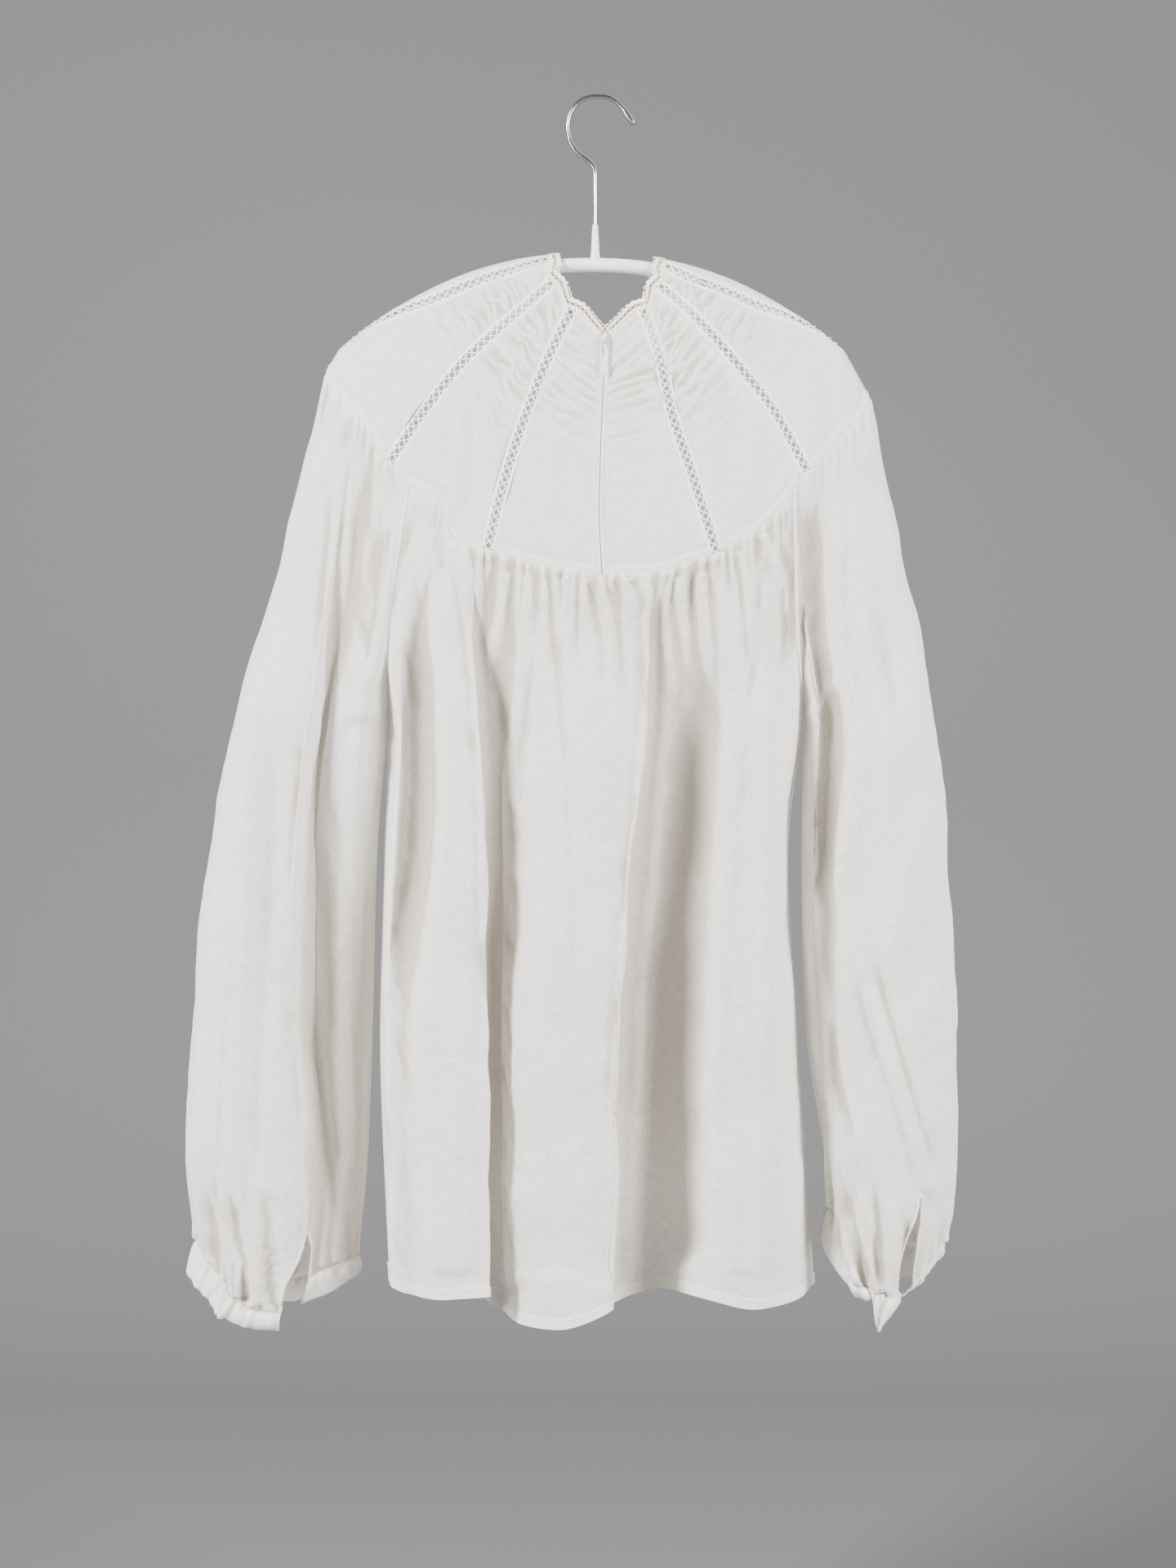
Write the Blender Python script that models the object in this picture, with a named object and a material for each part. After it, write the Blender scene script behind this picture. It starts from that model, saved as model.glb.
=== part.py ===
"""A sheer white blouse with an openwork yoke, hung on its hanger.

Metres, +Z up, the blouse's back to -Y. The origin is inside the top of the hook.
Table figures are millimetres as they look in the hanger's plane from 1.5 m behind
the blouse; placed() moves each point to its own depth on the same line of sight.
"""
import bmesh
import bpy
import math
import numpy as np

MM = 0.001
EYE_X = -6.84
EYE_Z = -478.2
EYE_DISTANCE = 1500.0
WALL = 1.2
SEAM_GAP = 0.15
BAR_RADIUS = 4.85
CLOTH_OVER_BAR = 8.6
BAR_HALF_SPAN = 170.0
BAR_MIDDLE_X = -4.8
BAR_TOP_Z = -107.4
WIRE_RADIUS = 1.5
NECK_EDGING = 7.0
STRIP_WIDTH = 9.5
CELL_PITCH = 5.7
HEM_WALL = 2.0
UNDERARM = 0.25
YOKE_SHARES = (0.0, 0.15, 0.3, 0.45, 0.6, 0.72, 0.79, 0.86, 0.93, 1.0)
SLIT_TOP_WIDTH = 7.0
BINDING = 2.2

# Rows run from the neck to the yoke's outer edge at even shares of the way.
# x is across, round is the way round from the shoulder ridge, plus to the back.
SEAM_LINES = {
    "zip_left": ((3.5, 57), (2.5, 95), (0.5, 140), (-0.5, 185), (1.5, 229)),
    "openwork_back_left": ((-15, 38), (-35, 78), (-52, 119), (-66, 160), (-77, 202)),
    "openwork_side_left": ((-26, 20), (-59, 44), (-92, 64), (-120, 86), (-145, 108)),
    "openwork_shoulder_left": ((-27, 6), (-67, 12), (-104, 13), (-138, 8), (-186, -12)),
    "openwork_shoulder_right": ((40, 7), (72, 14), (104, 14), (136, 7.5), (185, -12)),
    "openwork_side_right": ((37, 20), (66, 38), (96, 60), (124, 81), (146, 107)),
    "openwork_back_right": ((29, 36), (42, 69), (52, 112), (64, 145), (83, 199)),
    "zip_right": ((6.5, 57), (5.5, 95), (3.5, 140), (2.5, 185), (4.5, 229)),
}
# Lines between two seam lines: from, to, shares of the way, outer end (x, round).
LINES_BETWEEN = (
    ("zip_right", "openwork_back_right", 0.5, (39, 224)),
    ("openwork_back_right", "openwork_side_right", 0.3, (116, 163)),
    ("openwork_back_right", "openwork_side_right", 0.6, (137, 126)),
    ("openwork_side_right", "openwork_shoulder_right", 0.35, (168, 66)),
    ("openwork_side_right", "openwork_shoulder_right", 0.60, (183, 28)),
    ("openwork_side_right", "openwork_shoulder_right", 0.78, (188, 9)),
    ("openwork_side_right", "openwork_shoulder_right", 0.90, (189, 1)),
    ("openwork_shoulder_left", "openwork_side_left", 0.08, (-188, -1)),
    ("openwork_shoulder_left", "openwork_side_left", 0.22, (-189, 9)),
    ("openwork_shoulder_left", "openwork_side_left", 0.40, (-183, 28)),
    ("openwork_shoulder_left", "openwork_side_left", 0.65, (-165, 64)),
    ("openwork_side_left", "openwork_back_left", 0.3, (-132, 131)),
    ("openwork_side_left", "openwork_back_left", 0.5, (-110, 156)),
    ("openwork_side_left", "openwork_back_left", 0.75, (-102, 185)),
    ("openwork_back_left", "zip_left", 0.5, (-36, 222)),
)
# The plain front of the yoke, right to left: x at the neck and at the outer end, and
# the way round at even shares of the line.
FRONT_LINES = (
    ("front_over_right", 39, 183, (-2, -1, 0, -7, -28)),
    ("front_fall_right", 39, 178, (-9, -10, -12, -22, -50)),
    ("front_slope_right", 37, 166, (-15, -28, -44, -62, -84)),
    ("front_armhole_right", 31, 134, (-38, -62, -86, -110, -134)),
    ("front_side_right", 22, 84, (-68, -100, -132, -164, -196)),
    ("front_centre", 3, 2, (-92, -124, -157, -190, -222)),
    ("front_side_left", -16, -79, (-68, -100, -132, -164, -196)),
    ("front_armhole_left", -24, -129, (-38, -62, -86, -110, -134)),
    ("front_slope_left", -27, -164, (-15, -28, -44, -62, -84)),
    ("front_fall_left", -27, -178, (-9, -10, -12, -22, -50)),
    ("front_over_left", -27, -184, (-2, -1, 0, -7, -28)),
)
LEVEL_SHARES = (0.0, 0.14, 0.25, 0.42, 0.63, 1.0)
LEVEL_Z = (-381, -433, -530, -644)

# Hanging folds of the back, left to right. share: place on the yoke's edge; x and y
# (depth) at the four levels of LEVEL_Z and at the hem; hem_z: the hem's height.
BACK_FOLDS = (
    # share, x at levels and hem,            y at levels and hem,      hem_z
    (0.060, (-136, -137, -141, -147, -142), (-27, -23, -26, -29, -30), -829),
    (0.120, (-125, -122, -124, -138, -133), (-24, -18, -20, -34, -36), -833),
    (0.175, (-101, -99, -103, -112, -106), (-40, -48, -52, -58, -64), -838),
    (0.210, (-87, -83, -79, -76, -76), (-40, -48, -54, -58, -64), -836),
    (0.228, (-87, -84, -82, -80, -80), (-35, -36, -37, -38, -40), -837),
    (0.262, (-77, -70, -66, -66, -68), (-29, -25, -23, -21, -20), -845),
    (0.375, (-38, -40, -44, -52, -55), (-38, -43, -46, -48, -50), -855),
    (0.485, (-6, -6, -14, -22, -24), (-42, -53, -60, -66, -71), -859),
    (0.612, (35, 34, 23, 16, 11), (-40, -48, -55, -60, -64), -845),
    (0.628, (34, 32, 20, 12, 8), (-35, -36, -38, -40, -42), -844),
    (0.700, (56, 57, 50, 42, 41), (-28, -21, -15, -10, -6), -830),
    (0.800, (96, 97, 87, 79, 75), (-35, -40, -42, -43, -45), -837),
    (0.885, (116, 116, 113, 112, 109), (-34, -46, -54, -62, -68), -845),
    (0.950, (130, 128, 128, 133, 139), (-24, -32, -36, -40, -42), -838),
)
# The front hangs in plain, even waves. Its hem is shorter. Right to left.
FRONT_FOLDS = (
    (0.10, (120, 122, 121, 124, 130), (30, 36, 40, 44, 48), -790),
    (0.20, (92, 93, 92, 95, 98), (36, 34, 32, 32, 34), -789),
    (0.33, (55, 55, 55, 58, 60), (40, 48, 54, 58, 62), -790),
    (0.45, (18, 18, 17, 16, 16), (38, 38, 38, 38, 40), -789),
    (0.57, (-20, -21, -22, -24, -26), (41, 49, 56, 62, 66), -790),
    (0.69, (-56, -57, -60, -62, -65), (37, 36, 34, 33, 34), -789),
    (0.81, (-90, -92, -96, -100, -102), (35, 42, 50, 54, 56), -800),
    (0.91, (-120, -122, -128, -130, -128), (28, 32, 34, 36, 38), -796),
)
SLEEVE_LEVEL_SHARES = (0.0, 0.14, 0.25, 0.42, 0.63, 0.8, 1.0)
SLEEVE_LEVEL_Z = (-364, -433, -530, -644, -729)
# Folds round the left sleeve, from the front armhole round the outside to the back.
# The last two figures carry the cuff on from the sleeve's end: across and down.
LEFT_SLEEVE_FOLDS = (
    # share, x at levels and end,              y at levels and end,      end_z, cuff
    (0.10, (-158, -166, -172, -176, -178, -186), (20, 26, 28, 28, 26, 20), -812, -3, 18),
    (0.22, (-178, -190, -198, -206, -208, -212), (26, 38, 44, 46, 42, 32), -822, -4, 18),
    (0.35, (-206, -222, -236, -246, -248, -240), (22, 32, 40, 42, 38, 32), -818, -6, 20),
    (0.44, (-226, -244, -262, -273, -277, -264), (12, 18, 24, 26, 24, 16), -802, -8, 22),
    (0.50, (-234, -253, -271, -283, -288, -279), (0, 0, 0, 0, 0, 0), -796, -8, 21),
    (0.56, (-231, -251, -268, -280, -285, -270), (-14, -19, -25, -27, -27, -20), -812, -9, 18),
    (0.64, (-217, -240, -250, -262, -268, -257), (-27, -38, -45, -46, -45, -36), -832, -9, 15),
    (0.73, (-192, -204, -212, -224, -230, -238), (-30, -40, -44, -47, -48, -44), -846, -4, 11),
    (0.765, (-188, -197, -206, -207, -202, -220), (-27, -34, -36, -38, -40, -44), -848, -1, 11),
    (0.82, (-177, -190, -197, -197, -193, -201), (-17, -16, -13, -12, -18, -36), -822, -6, 19),
    (0.88, (-166, -180, -187, -186, -181, -188), (-22, -22, -17, -13, -14, -26), -816, -1, 18),
    (0.94, (-158, -166, -171, -173, -170, -174), (-27, -26, -20, -14, -12, -14), -811, 1, 13),
)
# Folds round the right sleeve, from the back armhole round the outside to the front.
RIGHT_SLEEVE_FOLDS = (
    (0.06, (146, 154, 151, 152, 164, 165), (-24, -22, -22, -22, -22, -18), -784, -11, 22),
    (0.13, (156, 165, 160, 164, 174, 172), (-18, -15, -19, -28, -34, -32), -812, -10, 13),
    (0.20, (166, 174, 172, 182, 186, 184), (-24, -24, -32, -42, -46, -41), -830, -6, 12),
    (0.30, (186, 198, 200, 206, 208, 200), (-30, -40, -46, -50, -50, -45), -837, -5, 25),
    (0.345, (196, 208, 212, 216, 222, 210), (-26, -36, -43, -47, -48, -44), -836, -3, 14),
    (0.385, (205, 216, 220, 225, 232, 219), (-22, -32, -38, -42, -42, -36), -830, -3, 8),
    (0.45, (219, 230, 238, 244, 244, 233), (-12, -17, -22, -26, -24, -18), -814, -4, 9),
    (0.52, (222, 234, 244, 251, 251, 242), (0, 0, 0, 0, 0, 0), -797, -3, 10),
    (0.58, (217, 228, 238, 244, 244, 232), (12, 18, 22, 24, 24, 18), -800, -4, 18),
    (0.68, (196, 208, 214, 218, 222, 206), (22, 32, 38, 40, 38, 32), -800, -5, 24),
    (0.80, (172, 182, 184, 188, 196, 180), (27, 38, 42, 44, 40, 32), -794, -8, 24),
    (0.91, (150, 158, 158, 160, 170, 166), (20, 24, 26, 28, 26, 18), -778, -8, 24),
)
# The placket slits: after which share they open, and over how many rows.
SLITS = {"sleeve_left": (0.765, 1), "sleeve_right": (0.345, 2)}
CUFF_AT_SEAM = {"sleeve_left": (1, 10), "sleeve_right": (-7, 24)}
# Seams: x, y, z at the armhole's top (from the yoke), its middle and the underarm.
ARMHOLES = {
    "left_back": ((-147, -22, -381), (-146, 0, -432)),
    "left_front": ((-147, 22, -381), (-146, 0, -432)),
    "right_back": ((140, -20, -381), (144, 0, -430)),
    "right_front": ((140, 20, -381), (144, 0, -430)),
}
# Below the underarm: x at the levels from LEVEL_Z[2] on and at the end, with its z.
SIDE_SEAMS = {
    "body_left": ((-149, -152), -146, -818),
    "body_right": ((133, 139), 151, -826),
    "sleeve_left": ((-154, -157, -160), -167, -808),
    "sleeve_right": ((142, 145, 157), 162, -768),
}
# The middle of the zip slider's back: x, y, z.
SLIDER_AT = (5.0, -26.0, -167.5)
CLOTH_LEAN = 0.22
SHARED_ROWS = (0.0, 0.03, 0.07, 0.12, 0.18, 0.25)
BODY_ROWS = (0.32, 0.41, 0.51, 0.62, 0.74, 0.87, 0.985, 1.0)
SLEEVE_ROWS = (0.32, 0.41, 0.51, 0.62, 0.73, 0.84, 0.93, 1.0)
# Hook centreline (x, z), from the hanger's neck to the flared tip.
HOOK_LINE = (
    (-1.8, -89.0), (-1.8, -54.0), (-3.0, -47.5), (-7.0, -43.0), (-12.5, -39.0),
    (-17.0, -34.0), (-20.0, -27.0), (-21.0, -19.4), (-19.6, -11.2), (-15.6, -4.4),
    (-9.5, 0.0), (-2.0, 1.6), (5.5, 1.3), (12.0, -1.4), (16.6, -5.6),
    (20.4, -11.1), (24.4, -16.6),
)


def placed(points):
    """Points (x, y, z) as they look in the hanger's plane, moved to their depth."""
    p = np.array(points, float)
    away = 1 + p[..., 1] / EYE_DISTANCE
    p[..., 0] = EYE_X + (p[..., 0] - EYE_X) * away
    p[..., 2] = EYE_Z + (p[..., 2] - EYE_Z) * away
    return p


def smooth(at, knots, values):
    """Smooth curves through the rows of values, which never overshoot a row."""
    t = np.asarray(knots, float)
    v = np.asarray(values, float).reshape(len(t), -1)
    at = np.clip(np.asarray(at, float), t[0], t[-1])
    step = np.diff(t)[:, None]
    rise = np.diff(v, axis=0) / step
    slope = np.zeros_like(v)
    slope[0] = rise[0]
    slope[-1] = rise[-1]
    same = rise[:-1] * rise[1:] > 0
    total = rise[:-1] + rise[1:]
    slope[1:-1] = np.where(
        same, 2 * rise[:-1] * rise[1:] / np.where(same, total, 1), 0
    )
    k = np.clip(np.searchsorted(t, at, side="right") - 1, 0, len(t) - 2)
    h = step[k]
    s = ((at - t[k]) / h[:, 0])[:, None]
    a = (1 + 2 * s) * (1 - s) ** 2
    b = s * (1 - s) ** 2
    c = s * s * (3 - 2 * s)
    d = s * s * (s - 1)
    return a * v[k] + b * h * slope[k] + c * v[k + 1] + d * h * slope[k + 1]


def ridge_z(x):
    """Height of the cloth over the hanger's bar."""
    w = np.abs(np.asarray(x, float) - BAR_MIDDLE_X)
    fallen = 0.9 * np.maximum(0, w - 176)
    return BAR_TOP_Z - 55.1 * (w / 160) ** 2.2 - fallen


def bar_steepness(x):
    """How much taller a level cut through the sloping bar is than the bar."""
    w = np.abs(np.asarray(x, float) - BAR_MIDDLE_X)
    return np.sqrt(1 + (0.7576 * (w / 160) ** 1.2) ** 2)


def on_yoke(x, way_round):
    """Cloth lying over the bar and hanging down behind (plus) or in front (minus)."""
    x = np.asarray(x, float)
    r = CLOTH_OVER_BAR
    way = np.asarray(way_round, float)
    arc = np.minimum(np.abs(way), r * math.pi / 2)
    fall = np.abs(way) - arc
    drop = r * (1 - np.cos(arc / r)) * bar_steepness(x) + fall
    flare = 34 * (1 - np.exp(-fall / 80)) * (1 - 0.35 * (x / 190) ** 2)
    depth = r * np.sin(arc / r) + flare
    y = -np.sign(way) * depth
    return placed(np.stack([x, y, ridge_z(x) - drop], axis=-1))


def stepped(points, stops):
    """Points along a line at the stops, given as distances from its start."""
    lengths = np.linalg.norm(np.diff(points, axis=0), axis=1)
    along = np.concatenate([[0], np.cumsum(lengths)])
    stops = np.minimum(stops, along[-1])
    return np.stack([np.interp(stops, along, points[:, k]) for k in range(3)], axis=1)


def moved_sideways(table, sideways):
    """A line of the yoke as 41 pairs (x, round), moved sideways in the cloth."""
    line = smooth(np.linspace(0, 1, 41), np.linspace(0, 1, len(table)), table)
    x = line[:, 0].copy()
    way = line[:, 1].copy()
    if sideways:
        e = 0.01
        along = np.gradient(on_yoke(x, way), axis=0)
        across_x = (on_yoke(x + e, way) - on_yoke(x, way)) / e
        across_w = (on_yoke(x, way + e) - on_yoke(x, way)) / e
        side = np.cross(along, np.cross(across_w, across_x))
        side *= sideways / np.linalg.norm(side, axis=1)[:, None]
        for k in range(len(x)):
            frame = np.stack([across_x[k], across_w[k]], axis=1)
            move = np.linalg.lstsq(frame, side[k], rcond=None)[0]
            line[k] += move
    return line


def yoke_line(line):
    """The stops of a line (x, round), from the neck to the yoke's outer edge."""
    points = on_yoke(line[:, 0], line[:, 1])
    length = np.linalg.norm(np.diff(points, axis=0), axis=1).sum()
    stops = NECK_EDGING + (length - NECK_EDGING) * np.array(YOKE_SHARES)
    return stepped(points, np.r_[0, stops])


def line_between(first, second, share, outer):
    """A line part of the way between two others, bent to its own outer end."""
    line = first + (second - first) * share
    late = np.clip((np.linspace(0, 1, len(line)) - 0.6) / 0.4, 0, 1)
    return line + (outer - line[-1]) * (late * late * (3 - 2 * late))[:, None]


def yoke_lines():
    """All lines of the yoke in order round the neck, from the zip to the right."""
    half = STRIP_WIDTH / 2
    order = []

    def add_side(ring):
        sides = {}
        for name in ring:
            if name.startswith("zip"):
                sides[name] = [moved_sideways(SEAM_LINES[name], 0)] * 3
            else:
                sides[name] = [
                    moved_sideways(SEAM_LINES[name], side) for side in (half, 0, -half)
                ]
        for name, following in zip(ring, ring[1:] + (None,)):
            if name.startswith("zip"):
                order.append((name, yoke_line(sides[name][0])))
            else:
                for part, line in zip("abc", sides[name]):
                    order.append((name + "." + part, yoke_line(line)))
            for start, end, share, outer in LINES_BETWEEN:
                if (start, end) == (name, following):
                    line = line_between(sides[start][2], sides[end][0], share, outer)
                    order.append(("between", yoke_line(line)))

    add_side(("zip_right", "openwork_back_right", "openwork_side_right",
              "openwork_shoulder_right"))
    for name, neck_x, outer_x, ways in FRONT_LINES:
        table = np.stack([np.linspace(neck_x, outer_x, 5), ways], axis=1)
        order.append((name, yoke_line(moved_sideways(table, 0))))
    add_side(("openwork_shoulder_left", "openwork_side_left", "openwork_back_left",
              "zip_left"))
    return order


def grid_faces(rows, columns, first=0):
    """Four-sided faces of a grid of points, facing out of the blouse."""
    return [
        (
            first + r * columns + c,
            first + (r + 1) * columns + c,
            first + (r + 1) * columns + c + 1,
            first + r * columns + c + 1,
        )
        for r in range(rows - 1)
        for c in range(columns - 1)
    ]


def face_normals(points, faces):
    """Area-weighted normals of the faces."""
    out = []
    for face in faces:
        p = points[list(face)]
        if len(face) == 4:
            out.append(np.cross(p[2] - p[0], p[3] - p[1]) / 2)
        else:
            out.append(np.cross(p[1] - p[0], p[2] - p[0]) / 2)
    return out


def unit(v):
    """Vectors of length one."""
    return v / np.maximum(np.linalg.norm(v, axis=-1, keepdims=True), 1e-12)


class Cloth:
    """Cloth pieces that meet at seams, so that their walls meet squarely."""

    def __init__(self):
        self.pieces = []
        self.sums = {}
        self.shared = {}

    def key(self, point):
        return tuple(np.round(point, 3))

    def add(self, name, points, faces, normals=None, walls=None, material="voile"):
        points = np.array(points, float)
        keys = {}
        new = []
        kept = []
        for k, point in enumerate(points):
            spot = self.key(point)
            if spot not in keys:
                keys[spot] = len(kept)
                kept.append(k)
            new.append(keys[spot])
        faces = [tuple(new[i] for i in f) for f in faces]
        points = points[kept]
        fixed = {}
        if normals is not None:
            for k in kept:
                if not np.isnan(normals[k][0]):
                    fixed[new[k]] = np.array(normals[k], float)
        for face, normal in zip(faces, face_normals(points, faces)):
            for i in face:
                spot = self.key(points[i])
                self.sums[spot] = self.sums.get(spot, 0) + normal
        thick = np.full(len(kept), WALL) if walls is None else np.array(walls)[kept]
        self.pieces.append((name, points, faces, fixed, thick, material))

    def build(self, collection):
        for name, points, faces, fixed, walls, material in self.pieces:
            normals = np.array([self.sums[self.key(p)] for p in points])
            normals = unit(normals)
            for k, normal in fixed.items():
                normals[k] = self.shared.get(self.key(points[k]), normal)
            shell(collection, name, points, faces, normals, walls, material)


def edge_steps(points, faces, normals):
    """How far each edge point is drawn in from its seam, and the edges."""
    seen = {}
    for f, face in enumerate(faces):
        for a, b in zip(face, face[1:] + face[:1]):
            seen[a, b] = f
    edges = [e for e in seen if (e[1], e[0]) not in seen]
    inward = {}
    for a, b in edges:
        left = unit(np.cross(normals[a] + normals[b], points[b] - points[a]))
        inward.setdefault(a, []).append(left)
        inward.setdefault(b, []).append(left)
    steps = np.zeros_like(points)
    for k, sides in inward.items():
        total = sides[0] + sides[-1]
        steps[k] = total * min(1 / max(1 + sides[0] @ sides[-1], 0.3), 2.5)
    return steps, edges


def shell(collection, name, points, faces, normals, walls, material):
    """A closed wall round a sheet, drawn in from its seams."""
    steps, edges = edge_steps(points, faces, normals)
    middle = points + steps * SEAM_GAP
    half = normals * walls[:, None] / 2
    outer = middle + half
    inner = middle - half
    n = len(points)
    solid = list(faces)
    solid += [tuple(n + i for i in reversed(f)) for f in faces]
    solid += [(a, a + n, b + n, b) for a, b in edges]
    make(collection, name, np.concatenate([outer, inner]), solid, material)


def make(collection, name, points, faces, material):
    """A named object from points in millimetres."""
    mesh = bpy.data.meshes.new(name)
    mesh.from_pydata([tuple(p) for p in np.array(points) * MM], [], faces)
    mesh.validate()
    mesh.materials.append(MATERIALS[material])
    thing = bpy.data.objects.new(name, mesh)
    collection.objects.link(thing)
    return thing


def tube(centres, radii, sides, first_end=True):
    """A round bar along a line in a plane of constant y, as points and faces."""
    centres = np.array(centres, float)
    radii = np.broadcast_to(radii, (len(centres),))
    along = unit(np.gradient(centres, axis=0))
    out = np.cross(along, (0.0, 1.0, 0.0))
    angle = np.linspace(0, 2 * math.pi, sides, endpoint=False)
    points = []
    for c, o, r in zip(centres, out, radii):
        for a in angle:
            points.append(c + r * (math.cos(a) * o + math.sin(a) * np.array((0, 1, 0))))
    faces = []
    for k in range(len(centres) - 1):
        for i in range(sides):
            j = (i + 1) % sides
            a = k * sides
            b = a + sides
            faces.append((a + i, b + i, b + j, a + j))
    if first_end:
        faces.append(tuple(range(sides)))
    last = (len(centres) - 1) * sides
    faces.append(tuple(last + i for i in reversed(range(sides))))
    return np.array(points), faces


def plain_material(name, colour, roughness, metallic=0.0):
    """A Principled material of one colour."""
    material = bpy.data.materials.new(name)
    material.use_nodes = True
    shader = material.node_tree.nodes["Principled BSDF"]
    shader.inputs["Base Color"].default_value = (*colour, 1)
    shader.inputs["Roughness"].default_value = roughness
    shader.inputs["Metallic"].default_value = metallic
    return material


def strip_cells(left, middle, right, normals):
    """Openwork: one diamond gap in each cell of a strip, as points and faces."""
    knots = YOKE_SHARES
    steps = np.linalg.norm(np.diff(middle, axis=0), axis=1)
    cuts = [0.0]
    for start, end, step in zip(knots, knots[1:], steps):
        cells = max(1, int(round(step / CELL_PITCH)))
        cuts += [start + (end - start) * i / cells for i in range(1, cells + 1)]
    count = len(cuts) - 1

    def at(line, t):
        return np.array([np.interp(t, knots, line[:, k]) for k in range(3)])

    points = []
    facing = []
    faces = []

    def put(t, across):
        side = left if across < 0 else right
        side_normal = normals[0] if across < 0 else normals[2]
        share = abs(across)
        points.append(at(middle, t) * (1 - share) + at(side, t) * share)
        normal = at(normals[1], t) * (1 - share) + at(side_normal, t) * share
        facing.append(unit(normal))
        return len(points) - 1

    a, d = put(0, -1), put(0, 1)
    for k in range(count):
        t = cuts[k]
        pitch = cuts[k + 1] - t
        b, c = put(t + pitch, -1), put(t + pitch, 1)
        high, low = put(t + 0.13 * pitch, 0), put(t + 0.87 * pitch, 0)
        west, east = put(t + 0.5 * pitch, -0.78), put(t + 0.5 * pitch, 0.78)
        faces += [(a, b, west), (b, low, west), (c, east, low)]
        faces += [(c, d, east), (d, high, east), (a, west, high)]
        for near, first, second, at_end in ((high, d, a, k == 0),
                                            (low, b, c, k == count - 1)):
            if at_end:
                end = put(0 if k == 0 else 1, 0)
                faces += [(first, end, near), (end, second, near)]
            else:
                faces.append((first, second, near))
        a, d = b, c
    return points, faces, facing


def yoke(cloth):
    """Panels, openwork strips, neck edging and zip of the yoke; its outer edge."""
    order = yoke_lines()
    names = [name for name, _ in order]
    grid = np.array([line for _, line in order])
    count, rows = grid.shape[:2]
    points = grid.transpose(1, 0, 2).reshape(-1, 3)
    normals = np.zeros_like(points)
    ring = grid_faces(rows, count)
    for face, normal in zip(ring, face_normals(points, ring)):
        for i in face:
            normals[i] += normal
    normals = unit(normals).reshape(rows, count, 3)
    points = points.reshape(rows, count, 3)

    def panel(name, first, last, top=1, bottom=rows, material="voile"):
        block = points[top:bottom, first:last + 1]
        facing = normals[top:bottom, first:last + 1]
        faces = grid_faces(block.shape[0], block.shape[1])
        cloth.add(name, block.reshape(-1, 3), faces, facing.reshape(-1, 3),
                  material=material)

    stops = {name: k for k, name in enumerate(names) if name != "between"}
    panels = (
        ("yoke_back_right", "zip_right", "openwork_back_right.a"),
        ("yoke_side_right", "openwork_back_right.c", "openwork_side_right.a"),
        ("yoke_shoulder_right", "openwork_side_right.c", "openwork_shoulder_right.a"),
        ("yoke_front", "openwork_shoulder_right.c", "openwork_shoulder_left.a"),
        ("yoke_shoulder_left", "openwork_shoulder_left.c", "openwork_side_left.a"),
        ("yoke_side_left", "openwork_side_left.c", "openwork_back_left.a"),
        ("yoke_back_left", "openwork_back_left.c", "zip_left"),
    )
    for name, first, last in panels:
        panel(name, stops[first], stops[last])
    for name in SEAM_LINES:
        if name.startswith("openwork"):
            k = stops[name + ".a"]
            lines = [points[1:, k + i] for i in range(3)]
            facing = [normals[1:, k + i] for i in range(3)]
            spots, faces, away = strip_cells(*lines, facing)
            cloth.add(name, spots, faces, away, material="openwork")
    panel("neck_edging", 0, count - 1, 0, 2, "openwork")
    zip_points = np.stack([points[:, -1], points[:, 0]], axis=1)
    zip_facing = np.stack([normals[:, -1], normals[:, 0]], axis=1)
    cloth.add("zip_tape", zip_points[1:].reshape(-1, 3), grid_faces(rows - 1, 2),
              zip_facing[1:].reshape(-1, 3), material="coil")
    return names, points[-1], normals[-1]


def edge_columns(edge, order, spacing):
    """Points along part of the yoke's edge, at most so far apart.

    Each comes with the two edge points it lies between and its share of the way.
    """
    spots = [edge[order[0]]]
    source = [(order[0], order[0], 0.0)]
    for a, b in zip(order, order[1:]):
        gap = edge[b] - edge[a]
        pieces = max(1, int(round(np.linalg.norm(gap) / spacing)))
        for i in range(1, pieces + 1):
            spots.append(edge[a] + gap * i / pieces)
            source.append((a, b, i / pieces))
    spots = np.array(spots)
    lengths = np.linalg.norm(np.diff(spots, axis=0), axis=1)
    shares = np.concatenate([[0], np.cumsum(lengths)])
    return spots, source, shares / shares[-1]


def seam_curve(start, armhole, side, rows):
    """A seam from the yoke's edge to the underarm, then down to the hem."""
    upper = [start] + [placed(p) for p in armhole]
    above = smooth([r for r in rows if r <= UNDERARM], (0, 0.14, UNDERARM), upper)
    xs, end_x, end_z = side
    heights = (SLEEVE_LEVEL_Z if len(xs) == 3 else LEVEL_Z)[2:]
    shares = (0.42, 0.63, 0.8, 1.0) if len(xs) == 3 else (0.42, 0.63, 1.0)
    lower = [upper[-1]] + [placed((x, 0, z)) for x, z in zip(xs, heights)]
    lower.append(placed((end_x, 0, end_z)))
    below = smooth([r for r in rows if r > UNDERARM], (UNDERARM,) + shares, lower)
    return np.concatenate([above, below])


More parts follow.
